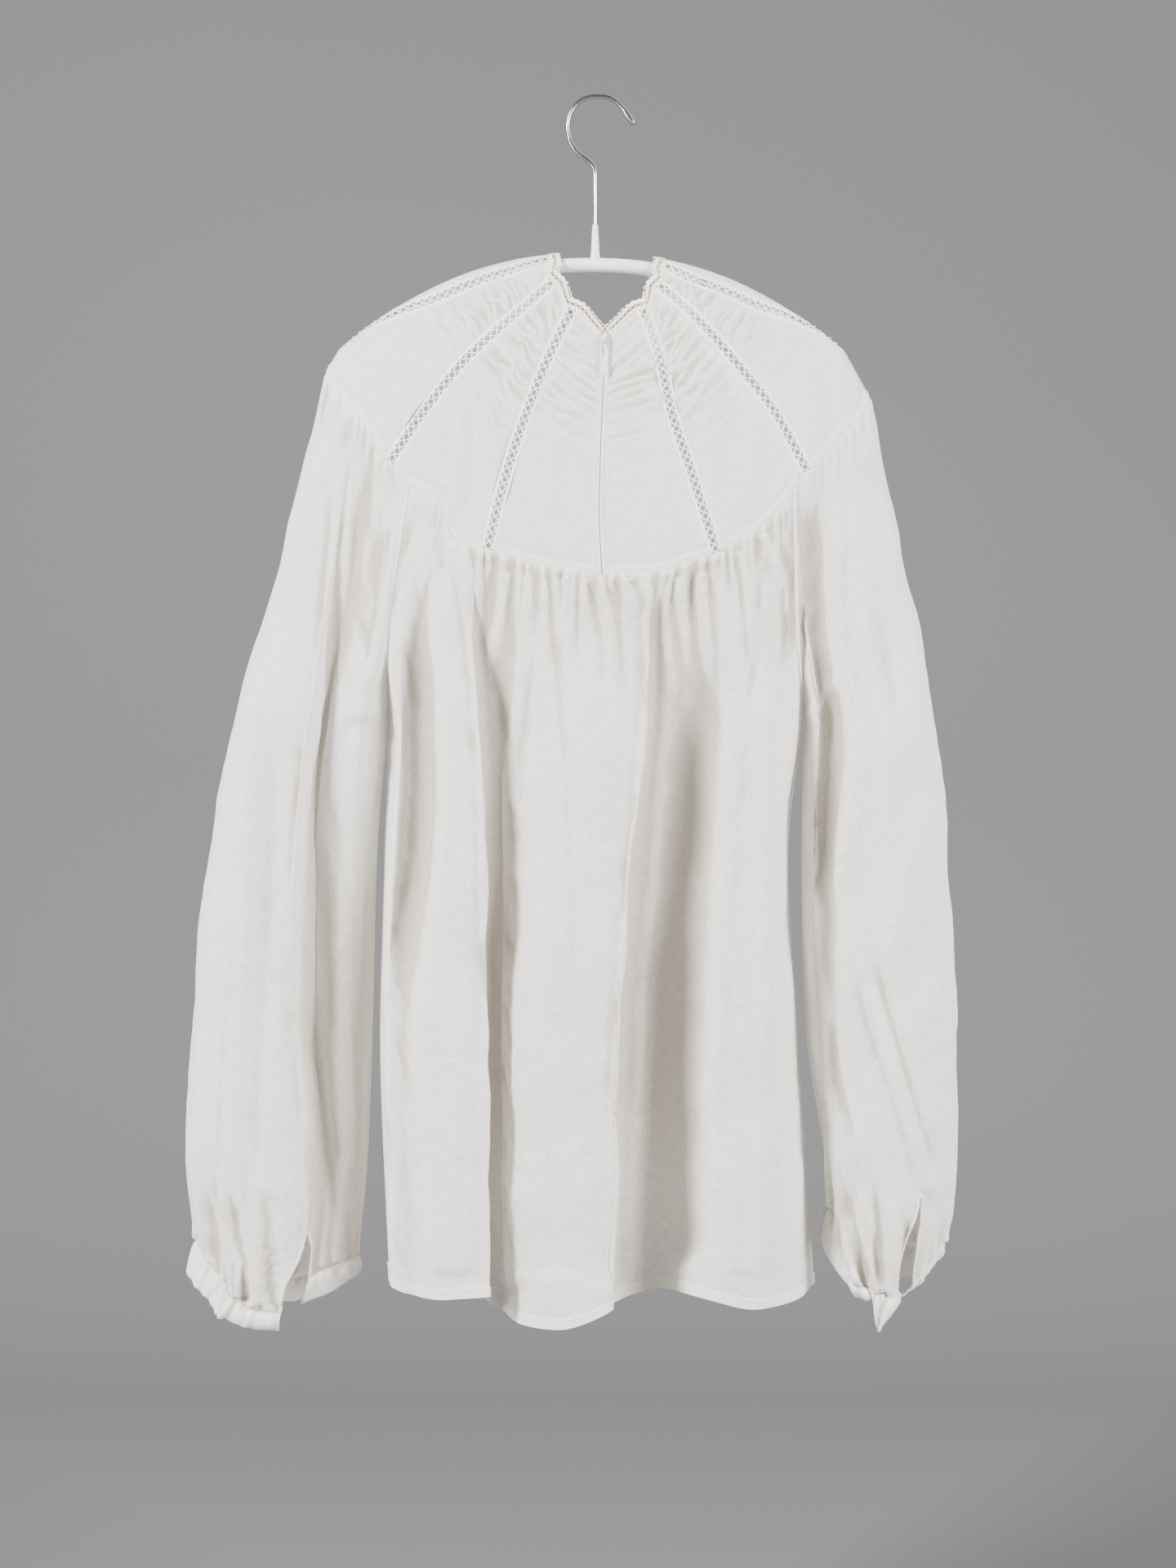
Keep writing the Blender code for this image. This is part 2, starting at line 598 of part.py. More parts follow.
def hanging(edge_spots, shares, folds, seams, rows, level_shares, level_z):
    """Cloth hanging from the yoke's edge in folds, as rows of points."""
    fold_shares = [0.0] + [f[0] for f in folds] + [1.0]
    curves = []
    for share, xs, ys, end_z in (fold[:4] for fold in folds):
        top = [np.interp(share, shares, edge_spots[:, k]) for k in range(3)]
        heights = list(level_z) + [end_z]
        levels = [top] + [placed(p) for p in zip(xs, ys, heights)]
        curves.append(smooth(rows, level_shares, levels))
    grid = np.array([seams[0]] + curves + [seams[1]]).transpose(1, 0, 2)
    gaps = np.linalg.norm(np.diff(grid, axis=1), axis=2)
    gaps = gaps.mean(axis=0) * 0.8 + gaps.mean() * 0.2
    places = np.concatenate([[0], np.cumsum(gaps)])
    columns = smooth(shares, fold_shares, places)[:, 0]
    cloth_rows = np.array([smooth(columns, places, row) for row in grid])
    away = edge_spots - cloth_rows[0]
    for k, row in enumerate(rows):
        left = max(0.0, 1 - row / 0.2)
        cloth_rows[k] += away * left * left * (3 - 2 * left)
    return cloth_rows, columns, places


def gathered(cloth_rows, rows, count, size):
    """The same cloth with gathers that fade away below the yoke."""
    out = cloth_rows.copy()
    columns = out.shape[1]
    across = unit(np.gradient(out, axis=1))
    away = unit(np.cross((0, 0, -1.0), across))
    wave = np.arange(columns) / (columns - 1) * count * 2 * math.pi
    ends = np.minimum(1, np.minimum(np.arange(columns), np.arange(columns)[::-1]) / 3)
    for k, row in enumerate(rows):
        swell = min(row / 0.05, 1) * max(0, 1 - row / 0.4)
        out[k] += away[k] * (size * swell * np.sin(wave) * ends)[:, None]
    return out


def body_and_sleeves(cloth, names, edge, facing):
    """Back, front and both sleeves, hung from the yoke's edge."""
    count = len(names)
    spot = {n: k for k, n in enumerate(names) if n != "between"}
    corner_right = spot["openwork_side_right.a"] - 1
    corner_left = spot["openwork_side_left.c"] + 1
    front_right = spot["front_armhole_right"]
    front_left = spot["front_armhole_left"]
    back = list(range(corner_left, count)) + list(range(0, corner_right + 1))
    right = list(range(corner_right, front_right + 1))
    front = list(range(front_right, front_left + 1))
    left = list(range(front_left, corner_left + 1))
    plan = (
        ("body_back", back, BACK_FOLDS, ("left_back", "body_left"),
         ("right_back", "body_right"), 9.0, 14, 2.0),
        ("body_front", front, FRONT_FOLDS, ("right_front", "body_right"),
         ("left_front", "body_left"), 16.0, 7, 2.0),
        ("sleeve_right", right, RIGHT_SLEEVE_FOLDS, ("right_back", "sleeve_right"),
         ("right_front", "sleeve_right"), 9.0, 9, 1.6),
        ("sleeve_left", left, LEFT_SLEEVE_FOLDS, ("left_front", "sleeve_left"),
         ("left_back", "sleeve_left"), 9.0, 9, 1.6),
    )
    hung = []
    for name, order, folds, first, last, spacing, gathers, size in plan:
        is_body = name.startswith("body")
        rows = SHARED_ROWS + (BODY_ROWS if is_body else SLEEVE_ROWS)
        spots, source, shares = edge_columns(edge, order, spacing)
        seams = [
            seam_curve(spots[0], ARMHOLES[first[0]], SIDE_SEAMS[first[1]], rows),
            seam_curve(spots[-1], ARMHOLES[last[0]], SIDE_SEAMS[last[1]], rows),
        ]
        levels = (LEVEL_SHARES, LEVEL_Z)
        if not is_body:
            levels = (SLEEVE_LEVEL_SHARES, SLEEVE_LEVEL_Z)
        grid, columns, places = hanging(spots, shares, folds, seams, rows, *levels)
        grid = gathered(grid, rows, gathers, size)
        grid[:, 0] = seams[0]
        grid[:, -1] = seams[1]
        down = unit(np.cross(grid[1] - grid[0], np.gradient(grid[0], axis=0)))
        for spot, normal in zip(grid[0], down):
            key = cloth.key(spot)
            cloth.shared[key] = cloth.shared.get(key, 0) + normal
        hung.append((name, folds, grid, source, columns, places))
    for k, spot in enumerate(edge):
        key = cloth.key(spot)
        cloth.shared[key] = unit(cloth.shared.get(key, 0) + facing[k])
    for name, folds, grid, source, columns, places in hung:
        is_body = name.startswith("body")
        turned = []
        for a, b, part in source:
            pair = [cloth.shared[cloth.key(edge[k])] for k in (a, b)]
            turned.append(unit(pair[0] + (pair[1] - pair[0]) * part))
        for spot, normal in zip(grid[0], turned):
            cloth.shared[cloth.key(spot)] = normal
        normals = np.full(grid.shape, np.nan)
        normals[0] = turned
        for side in (0, -1):
            normals[len(SHARED_ROWS) - 1, side] = (0, 0, -1)
        faces = grid_faces(*grid.shape[:2])
        walls = np.full(grid.shape[:2], WALL)
        if is_body:
            walls[-2:] = HEM_WALL
        else:
            slit = slit_column(name, folds, columns, places)
            grid, faces = with_slit(name, grid, faces, slit)
            cuff(cloth, name, grid, folds, columns, places, slit)
            binding(cloth, name, grid, slit)
        cloth.add(name, grid.reshape(-1, 3), faces, normals.reshape(-1, 3),
                  walls.ravel())


def slit_column(name, folds, columns, places):
    """The column after which the placket slit opens."""
    k = [fold[0] for fold in folds].index(SLITS[name][0]) + 1
    middle = (places[k] + places[k + 1]) / 2
    return int(np.argmin(np.abs((columns[1:] + columns[:-1]) / 2 - middle)))


def with_slit(name, grid, faces, slit):
    """The sleeve with its slit cut out of one column of the last rows."""
    rows = SLITS[name][1]
    columns = grid.shape[1]
    grid = grid.copy()
    top = grid.shape[0] - 1 - rows
    gap = grid[top, slit + 1] - grid[top, slit]
    spare = gap * (1 - SLIT_TOP_WIDTH / np.linalg.norm(gap)) / 2
    grid[top, slit] += spare
    grid[top, slit + 1] -= spare
    gone = {(top + k) * columns + slit for k in range(rows)}
    return grid, [f for f in faces if f[0] not in gone]


def cuff(cloth, name, grid, folds, columns, places, slit):
    """The cuff band below the sleeve, open at the slit."""
    seam = CUFF_AT_SEAM[name]
    moves = [seam] + [fold[4:] for fold in folds] + [seam]
    moves = smooth(columns, places, moves)
    end = grid[-1]
    middle = end + np.stack([moves[:, 0], 0 * columns, -moves[:, 1]], axis=1) * 0.5
    lower = end + np.stack([moves[:, 0], 0 * columns, -moves[:, 1]], axis=1)
    middle[:, 1] *= 1.04
    points = np.stack([end, middle, lower])
    faces = grid_faces(3, len(columns))
    faces = [f for f in faces if f[0] % len(columns) != slit]
    cloth.add(name.replace("sleeve", "cuff"), points.reshape(-1, 3), faces)


def binding(cloth, name, grid, slit):
    """The narrow binding round the slit."""
    rows = SLITS[name][1]
    left = list(grid[-1:-2 - rows:-1, slit])
    right = list(grid[-1 - rows:, slit + 1])
    line = np.array(left + right)
    across = unit(grid[-1, slit + 1] - grid[-1, slit])
    down = unit(grid[-1, slit] - grid[-2, slit])
    inner = line.copy()
    inner[: rows + 1] += across * BINDING
    inner[rows + 1:] -= across * BINDING
    inner[rows: rows + 2] += down * BINDING
    points = np.concatenate([line, inner])
    n = len(line)
    faces = [(k, n + k, n + k + 1, k + 1) for k in range(n - 1)]
    cloth.add(name.replace("sleeve", "placket"), points, faces)


def on_slider(across, away, up):
    """A point beside the slider, which leans with the cloth."""
    x, y, z = SLIDER_AT
    return (x + across, y - away + up * CLOTH_LEAN, z + up)


def zip_slider(collection):
    """The slider with its bridge; the pull tab hangs through the bridge."""
    outline = ((-1.4, 4.3), (1.4, 4.3), (2.2, 1.0), (2.0, -4.3), (-2.0, -4.3),
               (-2.2, 1.0))
    points = [on_slider(a, d, b) for d in (0.0, 1.4) for a, b in outline]
    n = len(outline)
    faces = [tuple(range(n - 1, -1, -1)), tuple(range(n, 2 * n))]
    faces += [(i, (i + 1) % n, n + (i + 1) % n, n + i) for i in range(n)]
    body = block(collection, "zip_slider", placed(points), faces)
    # Side view of the bridge: away from the slider, up.
    loop = ((1.2, -2.6), (3.8, -2.6), (3.8, 2.6), (1.2, 2.6), (1.2, 1.8), (3.0, 1.8),
            (3.0, -1.8), (1.2, -1.8))
    points = [on_slider(a, d, b) for a in (-0.5, 0.5) for d, b in loop]
    bridge = block(cutters(), "bridge", placed(points), prism_faces(len(loop)))
    join(body, bridge, "UNION")
    return body


def prism_faces(n):
    """Faces of a straight block whose two ends have n corners."""
    faces = [tuple(range(n)), tuple(range(2 * n - 1, n - 1, -1))]
    faces += [((i + 1) % n, i, n + i, n + (i + 1) % n) for i in range(n)]
    return faces


def block(collection, name, points, faces):
    """A closed solid whose faces are turned outward."""
    thing = make(collection, name, points, faces, "enamel")
    solid = bmesh.new()
    solid.from_mesh(thing.data)
    bmesh.ops.recalc_face_normals(solid, faces=solid.faces)
    solid.to_mesh(thing.data)
    solid.free()
    return thing


def cutters():
    """The collection of the helper solids, hidden from the result."""
    name = "helpers"
    if name not in bpy.data.collections:
        helpers = bpy.data.collections.new(name)
        bpy.context.scene.collection.children.link(helpers)
    return bpy.data.collections[name]


def join(thing, helper, how):
    """Add or cut a helper solid, with a modifier."""
    helper.hide_render = True
    helper.hide_viewport = True
    modifier = thing.modifiers.new(how.lower(), "BOOLEAN")
    modifier.operation = how
    modifier.solver = "EXACT"
    modifier.object = helper


def zip_pull(collection):
    """The pull tab: an eye round the bridge, a narrow link and a drop."""
    outer = ((1.7, 0.35), (1.7, -4.0), (0.8, -5.6), (0.8, -8.5), (1.5, -18.0),
             (1.3, -23.5), (0.7, -25.2))
    outer += tuple((-a, b) for a, b in reversed(outer))
    eye = ((0.85, -0.35), (-0.85, -0.35), (-0.85, -3.9), (0.85, -3.9))
    n = len(outer)
    points = [on_slider(a, d, b) for d in (1.8, 2.45) for a, b in outer + eye]
    total = n + len(eye)
    # Faces between the outline and the eye, then the whole tab below the eye.
    front = [(n, 0, n - 1, n + 1), (n, n + 3, 1, 0), (n + 3, n + 2, n - 2, 1),
             (n + 2, n + 1, n - 1, n - 2)]
    front += [(k, n - 1 - k, n - 2 - k, k + 1) for k in range(1, n // 2 - 1)]
    faces = list(front) + [tuple(total + i for i in reversed(f)) for f in front]
    faces += [(k, (k + 1) % n, total + (k + 1) % n, total + k) for k in range(n)]
    for k in range(4):
        a, b = n + k, n + (k + 1) % 4
        faces.append((b, a, total + a, total + b))
    return block(collection, "zip_pull", placed(points), faces)


def hanger(collection):
    """The coated bar, its neck, and the wire hook."""
    drop = CLOTH_OVER_BAR
    x = BAR_MIDDLE_X + np.linspace(-BAR_HALF_SPAN, BAR_HALF_SPAN, 25)
    x = np.r_[x[0] - 4.0, x[0] - 2.6, x, x[-1] + 2.6, x[-1] + 4.0]
    z = ridge_z(x) - drop * bar_steepness(x)
    radii = np.full(len(x), BAR_RADIUS)
    radii[[0, -1]] = 2.2
    radii[[1, -2]] = 4.1
    line = np.stack([x, 0 * x, z], axis=1)
    points, faces = tube(line, radii, 12)
    make(collection, "hanger_bar", points, faces, "coated")
    foot = float(ridge_z(HOOK_LINE[0][0])) - drop
    heights = (foot, foot + 9, foot + 17, HOOK_LINE[0][1] + 1.5)
    line = [(HOOK_LINE[0][0], 0, h) for h in heights]
    points, faces = tube(line, (2.85, 2.85, 2.5, 1.9), 12, False)
    for k in range(12):
        rise = math.sqrt(BAR_RADIUS ** 2 - points[k][1] ** 2)
        points[k][2] = ridge_z(points[k][0]) - drop + rise + 0.06
    # The foot is saddle-shaped, so it is closed in strips along the bar.
    faces += [(9, 10, 8), (10, 11, 7, 8), (11, 0, 6, 7), (0, 1, 5, 6), (1, 2, 4, 5),
              (2, 3, 4)]
    block(collection, "hanger_neck", points, faces).data.materials[0] = (
        MATERIALS["coated"]
    )
    line = np.array([(a, 0, b) for a, b in HOOK_LINE])
    line[0, 2] = heights[-1] + 0.06
    radii = np.full(len(line), WIRE_RADIUS)
    radii[-1] = 2.1
    end = line[-1] + (line[-1] - line[-2]) * 0.25
    line = np.concatenate([line, [end]])
    points, faces = tube(line, np.r_[radii, 1.4], 10)
    make(collection, "hanger_hook", points, faces, "wire")


def build():
    for thing in list(bpy.data.objects):
        bpy.data.objects.remove(thing, do_unlink=True)
    collection = bpy.data.collections.new("blouse_on_hanger")
    bpy.context.scene.collection.children.link(collection)
    cloth = Cloth()
    names, edge, facing = yoke(cloth)
    body_and_sleeves(cloth, names, edge, facing)
    cloth.build(collection)
    zip_slider(collection)
    zip_pull(collection)
    hanger(collection)


MATERIALS = {
    "voile": plain_material("white_voile", (0.86, 0.84, 0.81), 0.9),
    "openwork": plain_material("white_openwork", (0.9, 0.88, 0.85), 0.85),
    "coil": plain_material("white_zip_coil", (0.88, 0.87, 0.85), 0.5),
    "enamel": plain_material("white_enamel", (0.85, 0.84, 0.82), 0.35),
    "coated": plain_material("white_plastic_coat", (0.87, 0.87, 0.87), 0.35),
    "wire": plain_material("steel_wire", (0.62, 0.62, 0.62), 0.3, 1.0),
}
build()
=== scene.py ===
# %% [markdown]
# # A sheer blouse on its hanger
# The blouse is white voile, a thin plain weave with uneven threads. A round yoke sits
# on the shoulders, six strips of openwork join its panels, and the cloth below is
# gathered into it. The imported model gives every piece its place. This lesson puts
# finer cloth, thread and finishes over it.

# %% Load the frame
import math

import bmesh
import bpy
import numpy as np
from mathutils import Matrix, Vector


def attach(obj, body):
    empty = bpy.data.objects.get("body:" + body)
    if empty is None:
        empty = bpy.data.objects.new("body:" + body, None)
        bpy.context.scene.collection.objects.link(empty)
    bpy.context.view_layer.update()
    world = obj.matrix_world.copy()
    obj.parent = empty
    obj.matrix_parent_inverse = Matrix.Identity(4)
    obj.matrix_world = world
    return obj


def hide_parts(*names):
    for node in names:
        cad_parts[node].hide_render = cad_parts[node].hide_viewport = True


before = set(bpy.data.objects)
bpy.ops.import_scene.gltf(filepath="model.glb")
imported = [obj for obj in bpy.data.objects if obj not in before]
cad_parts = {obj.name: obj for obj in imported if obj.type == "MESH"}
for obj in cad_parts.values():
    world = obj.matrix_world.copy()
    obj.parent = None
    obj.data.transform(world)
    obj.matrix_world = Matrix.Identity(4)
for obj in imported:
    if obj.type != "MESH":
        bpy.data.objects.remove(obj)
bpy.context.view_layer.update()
MM = 0.001
print("nodes in the frame:", len(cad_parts))

# %% [markdown]
# ## The sight line
# The blouse hangs free, so its shape is known best as it looks from behind, 1.5 m
# away. Sizes below are millimetres in the plane of the hanger, and placed() moves a
# point to its real depth along the same line of sight. seen() does the reverse. The
# camera stands at that same eye.

# %% The eye and the camera
EYE_X = -6.84
EYE_Z = -478.2
EYE_DISTANCE = 1500.0
VIEW_HEIGHT = 1094.4


def placed(points):
    """Points (x, y, z) as they look in the hanger's plane, moved to their depth."""
    p = np.array(points, float)
    away = 1 + p[..., 1] / EYE_DISTANCE
    p[..., 0] = EYE_X + (p[..., 0] - EYE_X) * away
    p[..., 2] = EYE_Z + (p[..., 2] - EYE_Z) * away
    return p


def seen(points):
    """Where points look to be in the hanger's plane: x and height."""
    away = 1 + points[..., 1] / EYE_DISTANCE
    x = EYE_X + (points[..., 0] - EYE_X) / away
    z = EYE_Z + (points[..., 2] - EYE_Z) / away
    return np.stack([x, z], axis=-1)


lens = bpy.data.cameras.new("camera")
lens.sensor_fit = "VERTICAL"
lens.sensor_height = 24.0
lens.lens = lens.sensor_height * EYE_DISTANCE / VIEW_HEIGHT
camera = bpy.data.objects.new("camera", lens)
camera.location = (EYE_X * MM, -EYE_DISTANCE * MM, EYE_Z * MM)
camera.rotation_euler = (math.pi / 2, 0, 0)
bpy.context.scene.collection.objects.link(camera)
bpy.context.scene.camera = camera
print("lens %.1f mm" % lens.lens)

# %% [markdown]
# ## Light and backdrop
# White cloth needs a backdrop a little darker than itself, or its edges are lost.
# A floor that curves up into a wall gives one, with no corner behind the blouse. A lamp
# in front and to the left shapes the folds, a weaker one fills the shade, one at each
# side lights the sleeves, and one behind makes the thin cloth glow a little.

# %% Studio
FLOOR_Z = -1.25


def lamp(name, place, power, size, aim=(0, 0, -0.45)):
    """A square soft lamp that faces the blouse."""
    light = bpy.data.lights.new(name, "AREA")
    light.energy = power
    light.size = size
    thing = bpy.data.objects.new(name, light)
    thing.location = place
    way = Vector(aim) - Vector(place)
    thing.rotation_euler = way.to_track_quat("-Z", "Y").to_euler()
    bpy.context.scene.collection.objects.link(thing)


def backdrop():
    """A pale floor that bends up into a wall."""
    bend = 0.8
    profile = [(-3.0, FLOOR_Z)]
    for k in range(17):
        turn = math.pi / 2 * k / 16
        profile.append((1.2 + bend * math.sin(turn), FLOOR_Z + bend * (1 - math.cos(turn))))
    profile.append((1.2 + bend, 3.0))
    points = [(x, y, z) for y, z in profile for x in (-4.5, 4.5)]
    faces = [(2 * k, 2 * k + 1, 2 * k + 3, 2 * k + 2) for k in range(len(profile) - 1)]
    mesh = bpy.data.meshes.new("backdrop")
    mesh.from_pydata(points, [], faces)
    mesh.shade_smooth()
    thing = bpy.data.objects.new("backdrop", mesh)
    bpy.context.scene.collection.objects.link(thing)
    paint = bpy.data.materials.new("backdrop_paint")
    paint.use_nodes = True
    shader = paint.node_tree.nodes["Principled BSDF"]
    shader.inputs["Base Color"].default_value = (0.15, 0.15, 0.154, 1)
    shader.inputs["Roughness"].default_value = 0.95
    mesh.materials.append(paint)


backdrop()
lamp("key", (-2.0, -1.7, 0.9), 245, 0.6)
lamp("fill", (2.3, -1.6, 0.5), 150, 0.8)
lamp("left side", (-1.8, -0.9, -0.5), 28, 0.8, (-0.2, 0, -0.5))
lamp("right side", (1.9, -0.9, -0.5), 42, 0.8, (0.2, 0, -0.5))
lamp("back", (0.7, 1.1, 0.9), 12, 1.0)
world = bpy.data.worlds.new("studio")
bpy.context.scene.world = world
world.use_nodes = True
world.node_tree.nodes["Background"].inputs["Color"].default_value = (1, 0.95, 0.88, 1)
world.node_tree.nodes["Background"].inputs["Strength"].default_value = 0.16

# %% [markdown]
# ## Smooth curves through a few figures
# Folds are drawn with few figures each and a curve that never overshoots them, so that
# a fold is as deep as its figure says and no deeper.

# %% Curves


def smooth(at, knots, values):
    """Smooth curves through the rows of values, which never overshoot a row."""
    t = np.asarray(knots, float)
    v = np.asarray(values, float).reshape(len(t), -1)
    at = np.clip(np.asarray(at, float), t[0], t[-1])
    step = np.diff(t)[:, None]
    rise = np.diff(v, axis=0) / step
    slope = np.zeros_like(v)
    slope[0] = rise[0]
    slope[-1] = rise[-1]
    same = rise[:-1] * rise[1:] > 0
    total = rise[:-1] + rise[1:]
    slope[1:-1] = np.where(same, 2 * rise[:-1] * rise[1:] / np.where(same, total, 1), 0)
    k = np.clip(np.searchsorted(t, at, side="right") - 1, 0, len(t) - 2)
    h = step[k]
    s = ((at - t[k]) / h[:, 0])[:, None]
    a = (1 + 2 * s) * (1 - s) ** 2
    b = s * (1 - s) ** 2
    c = s * s * (3 - 2 * s)
    d = s * s * (s - 1)
    return a * v[k] + b * h * slope[k] + c * v[k + 1] + d * h * slope[k + 1]


def fade(x):
    """A soft step from 0 to 1."""
    x = np.clip(x, 0, 1)
    return x * x * (3 - 2 * x)


def unit(v):
    """Vectors of length one."""
    return v / np.maximum(np.linalg.norm(v, axis=-1, keepdims=True), 1e-12)


def along_line(points):
    """Distance from the start of a line of points to each of them."""
    steps = np.linalg.norm(np.diff(points, axis=0), axis=1)
    return np.concatenate([[0], np.cumsum(steps)])


def spaced(points, stops):
    """Points along a line at the stops, given as distances from its start."""
    along = along_line(points)
    stops = np.clip(stops, 0, along[-1])
    return np.stack([np.interp(stops, along, points[:, k]) for k in range(3)], axis=1)


print("a smooth step passes 0.5 at", float(fade(0.5)))

# %% [markdown]
# ## The yoke on the hanger
# Above the hanger's bar the cloth is bent over it, and in front of and behind the bar it
# falls and flares. So a point of the yoke is given by two figures: x, along the bar, and
# the way round from the ridge, plus to the back. Seams are short tables in those figures.

# %% The yoke's surface
CLOTH_OVER_BAR = 8.6
BAR_MIDDLE_X = -4.8
BAR_TOP_Z = -107.4
NECK_EDGING = 7.0
STRIP_WIDTH = 9.5
SEAM_LINES = {
    # name: (x, way round) at even shares of the way from the neck to the outer edge
    "zip_left": ((3.5, 57), (2.5, 95), (0.5, 140), (-0.5, 185), (1.5, 229)),
    "openwork_back_left": ((-15, 38), (-35, 78), (-52, 119), (-66, 160), (-77, 202)),
    "openwork_side_left": ((-26, 20), (-59, 44), (-92, 64), (-120, 86), (-145, 108)),
    "openwork_shoulder_left": ((-27, 6), (-67, 12), (-104, 13), (-138, 8), (-186, -12)),
    "openwork_shoulder_right": ((40, 7), (72, 14), (104, 14), (136, 7.5), (185, -12)),
    "openwork_side_right": ((37, 20), (66, 38), (96, 60), (124, 81), (146, 107)),
    "openwork_back_right": ((29, 36), (42, 69), (52, 112), (64, 145), (83, 199)),
    "zip_right": ((6.5, 57), (5.5, 95), (3.5, 140), (2.5, 185), (4.5, 229)),
}
LINES_BETWEEN = (
    # from, to, share of the way, outer end (x, way round)
    ("zip_right", "openwork_back_right", 0.5, (39, 224)),
    ("openwork_back_right", "openwork_side_right", 0.3, (116, 163)),
    ("openwork_back_right", "openwork_side_right", 0.6, (137, 126)),
    ("openwork_side_right", "openwork_shoulder_right", 0.35, (168, 66)),
    ("openwork_side_right", "openwork_shoulder_right", 0.60, (183, 28)),
    ("openwork_side_right", "openwork_shoulder_right", 0.78, (188, 9)),
    ("openwork_side_right", "openwork_shoulder_right", 0.90, (189, 1)),
    ("openwork_shoulder_left", "openwork_side_left", 0.08, (-188, -1)),
    ("openwork_shoulder_left", "openwork_side_left", 0.22, (-189, 9)),
    ("openwork_shoulder_left", "openwork_side_left", 0.40, (-183, 28)),
    ("openwork_shoulder_left", "openwork_side_left", 0.65, (-165, 64)),
    ("openwork_side_left", "openwork_back_left", 0.3, (-132, 131)),
    ("openwork_side_left", "openwork_back_left", 0.5, (-110, 156)),
    ("openwork_side_left", "openwork_back_left", 0.75, (-102, 185)),
    ("openwork_back_left", "zip_left", 0.5, (-36, 222)),
)
FRONT_LINES = (
    # name, x at the neck and outer end, way round at even shares
    ("front_over_right", 39, 183, (-2, -1, 0, -7, -28)),
    ("front_fall_right", 39, 178, (-9, -10, -12, -22, -50)),
    ("front_slope_right", 37, 166, (-15, -28, -44, -62, -84)),
    ("front_armhole_right", 31, 134, (-38, -62, -86, -110, -134)),
    ("front_side_right", 22, 84, (-68, -100, -132, -164, -196)),
    ("front_centre", 3, 2, (-92, -124, -157, -190, -222)),
    ("front_side_left", -16, -79, (-68, -100, -132, -164, -196)),
    ("front_armhole_left", -24, -129, (-38, -62, -86, -110, -134)),
    ("front_slope_left", -27, -164, (-15, -28, -44, -62, -84)),
    ("front_fall_left", -27, -178, (-9, -10, -12, -22, -50)),
    ("front_over_left", -27, -184, (-2, -1, 0, -7, -28)),
)
LINE_STEPS = 161


def ridge_z(x):
    """Height of the cloth over the hanger's bar."""
    w = np.abs(np.asarray(x, float) - BAR_MIDDLE_X)
    fallen = 0.9 * np.maximum(0, w - 176)
    return BAR_TOP_Z - 55.1 * (w / 160) ** 2.2 - fallen


def bar_steepness(x):
    """How much taller a level cut through the sloping bar is than the bar."""
    w = np.abs(np.asarray(x, float) - BAR_MIDDLE_X)
    return np.sqrt(1 + (0.7576 * (w / 160) ** 1.2) ** 2)


def on_yoke(x, way_round):
    """Cloth lying over the bar and hanging down behind (plus) or in front (minus)."""
    x = np.asarray(x, float)
    r = CLOTH_OVER_BAR
    way = np.asarray(way_round, float)
    arc = np.minimum(np.abs(way), r * math.pi / 2)
    fall = np.abs(way) - arc
    drop = r * (1 - np.cos(arc / r)) * bar_steepness(x) + fall
    flare = 34 * (1 - np.exp(-fall / 80)) * (1 - 0.35 * (x / 190) ** 2)
    depth = r * np.sin(arc / r) + flare
    y = -np.sign(way) * depth
    return placed(np.stack([x, y, ridge_z(x) - drop], axis=-1))


def moved_sideways(table, sideways):
    """A line of the yoke as pairs (x, way round), moved sideways in the cloth."""
    t = np.linspace(0, 1, LINE_STEPS)
    line = smooth(t, np.linspace(0, 1, len(table)), table)
    if sideways:
        x, way = line.T.copy()
        e = 0.01
        along = np.gradient(on_yoke(x, way), axis=0)
        across_x = (on_yoke(x + e, way) - on_yoke(x, way)) / e
        across_w = (on_yoke(x, way + e) - on_yoke(x, way)) / e
        side = np.cross(along, np.cross(across_w, across_x))
        side *= sideways / np.linalg.norm(side, axis=1)[:, None]
        for k in range(len(x)):
            pair = np.stack([across_x[k], across_w[k]], axis=1)
            line[k] += np.linalg.lstsq(pair, side[k], rcond=None)[0]
    return line


def line_between(first, second, share, outer):
    """A line part of the way between two others, bent to its own outer end."""
    line = first + (second - first) * share
    late = fade((np.linspace(0, 1, len(line)) - 0.6) / 0.4)
    return line + (outer - line[-1]) * late[:, None]


def yoke_lines():
    """All lines of the yoke in order round the neck, from the zip to the right."""
    order = []

    def add_side(ring):
        sides = {}
        for name in ring:
            half = 0 if name.startswith("zip") else STRIP_WIDTH / 2
            moves = (half, 0, -half)
            sides[name] = [moved_sideways(SEAM_LINES[name], side) for side in moves]
        for name, following in zip(ring, ring[1:] + (None,)):
            if name.startswith("zip"):
                order.append((name, sides[name][0]))
            else:
                order.extend((name + "." + side, line) for side, line in zip("abc", sides[name]))
            for start, end, share, outer in LINES_BETWEEN:
                if (start, end) == (name, following):
                    line = line_between(sides[start][2], sides[end][0], share, outer)
                    order.append(("between", line))

    add_side(("zip_right", "openwork_back_right", "openwork_side_right",
              "openwork_shoulder_right"))
    for name, neck_x, outer_x, ways in FRONT_LINES:
        table = np.stack([np.linspace(neck_x, outer_x, 5), ways], axis=1)
        order.append((name, moved_sideways(table, 0)))
    add_side(("openwork_shoulder_left", "openwork_side_left", "openwork_back_left",
              "zip_left"))
    return order


YOKE = yoke_lines()
YOKE_NAMES = [name for name, _ in YOKE]
print("lines of the yoke:", len(YOKE))

# %% [markdown]
# ## A grid of cloth
# Every panel is a grid: rows run down the cloth and columns go round. The fineness of
# the grid decides how small a pucker can be, so the grid has a point about each 1 to 3 mm.
# A panel of the yoke is blended between its lines, then its rows are spaced evenly.

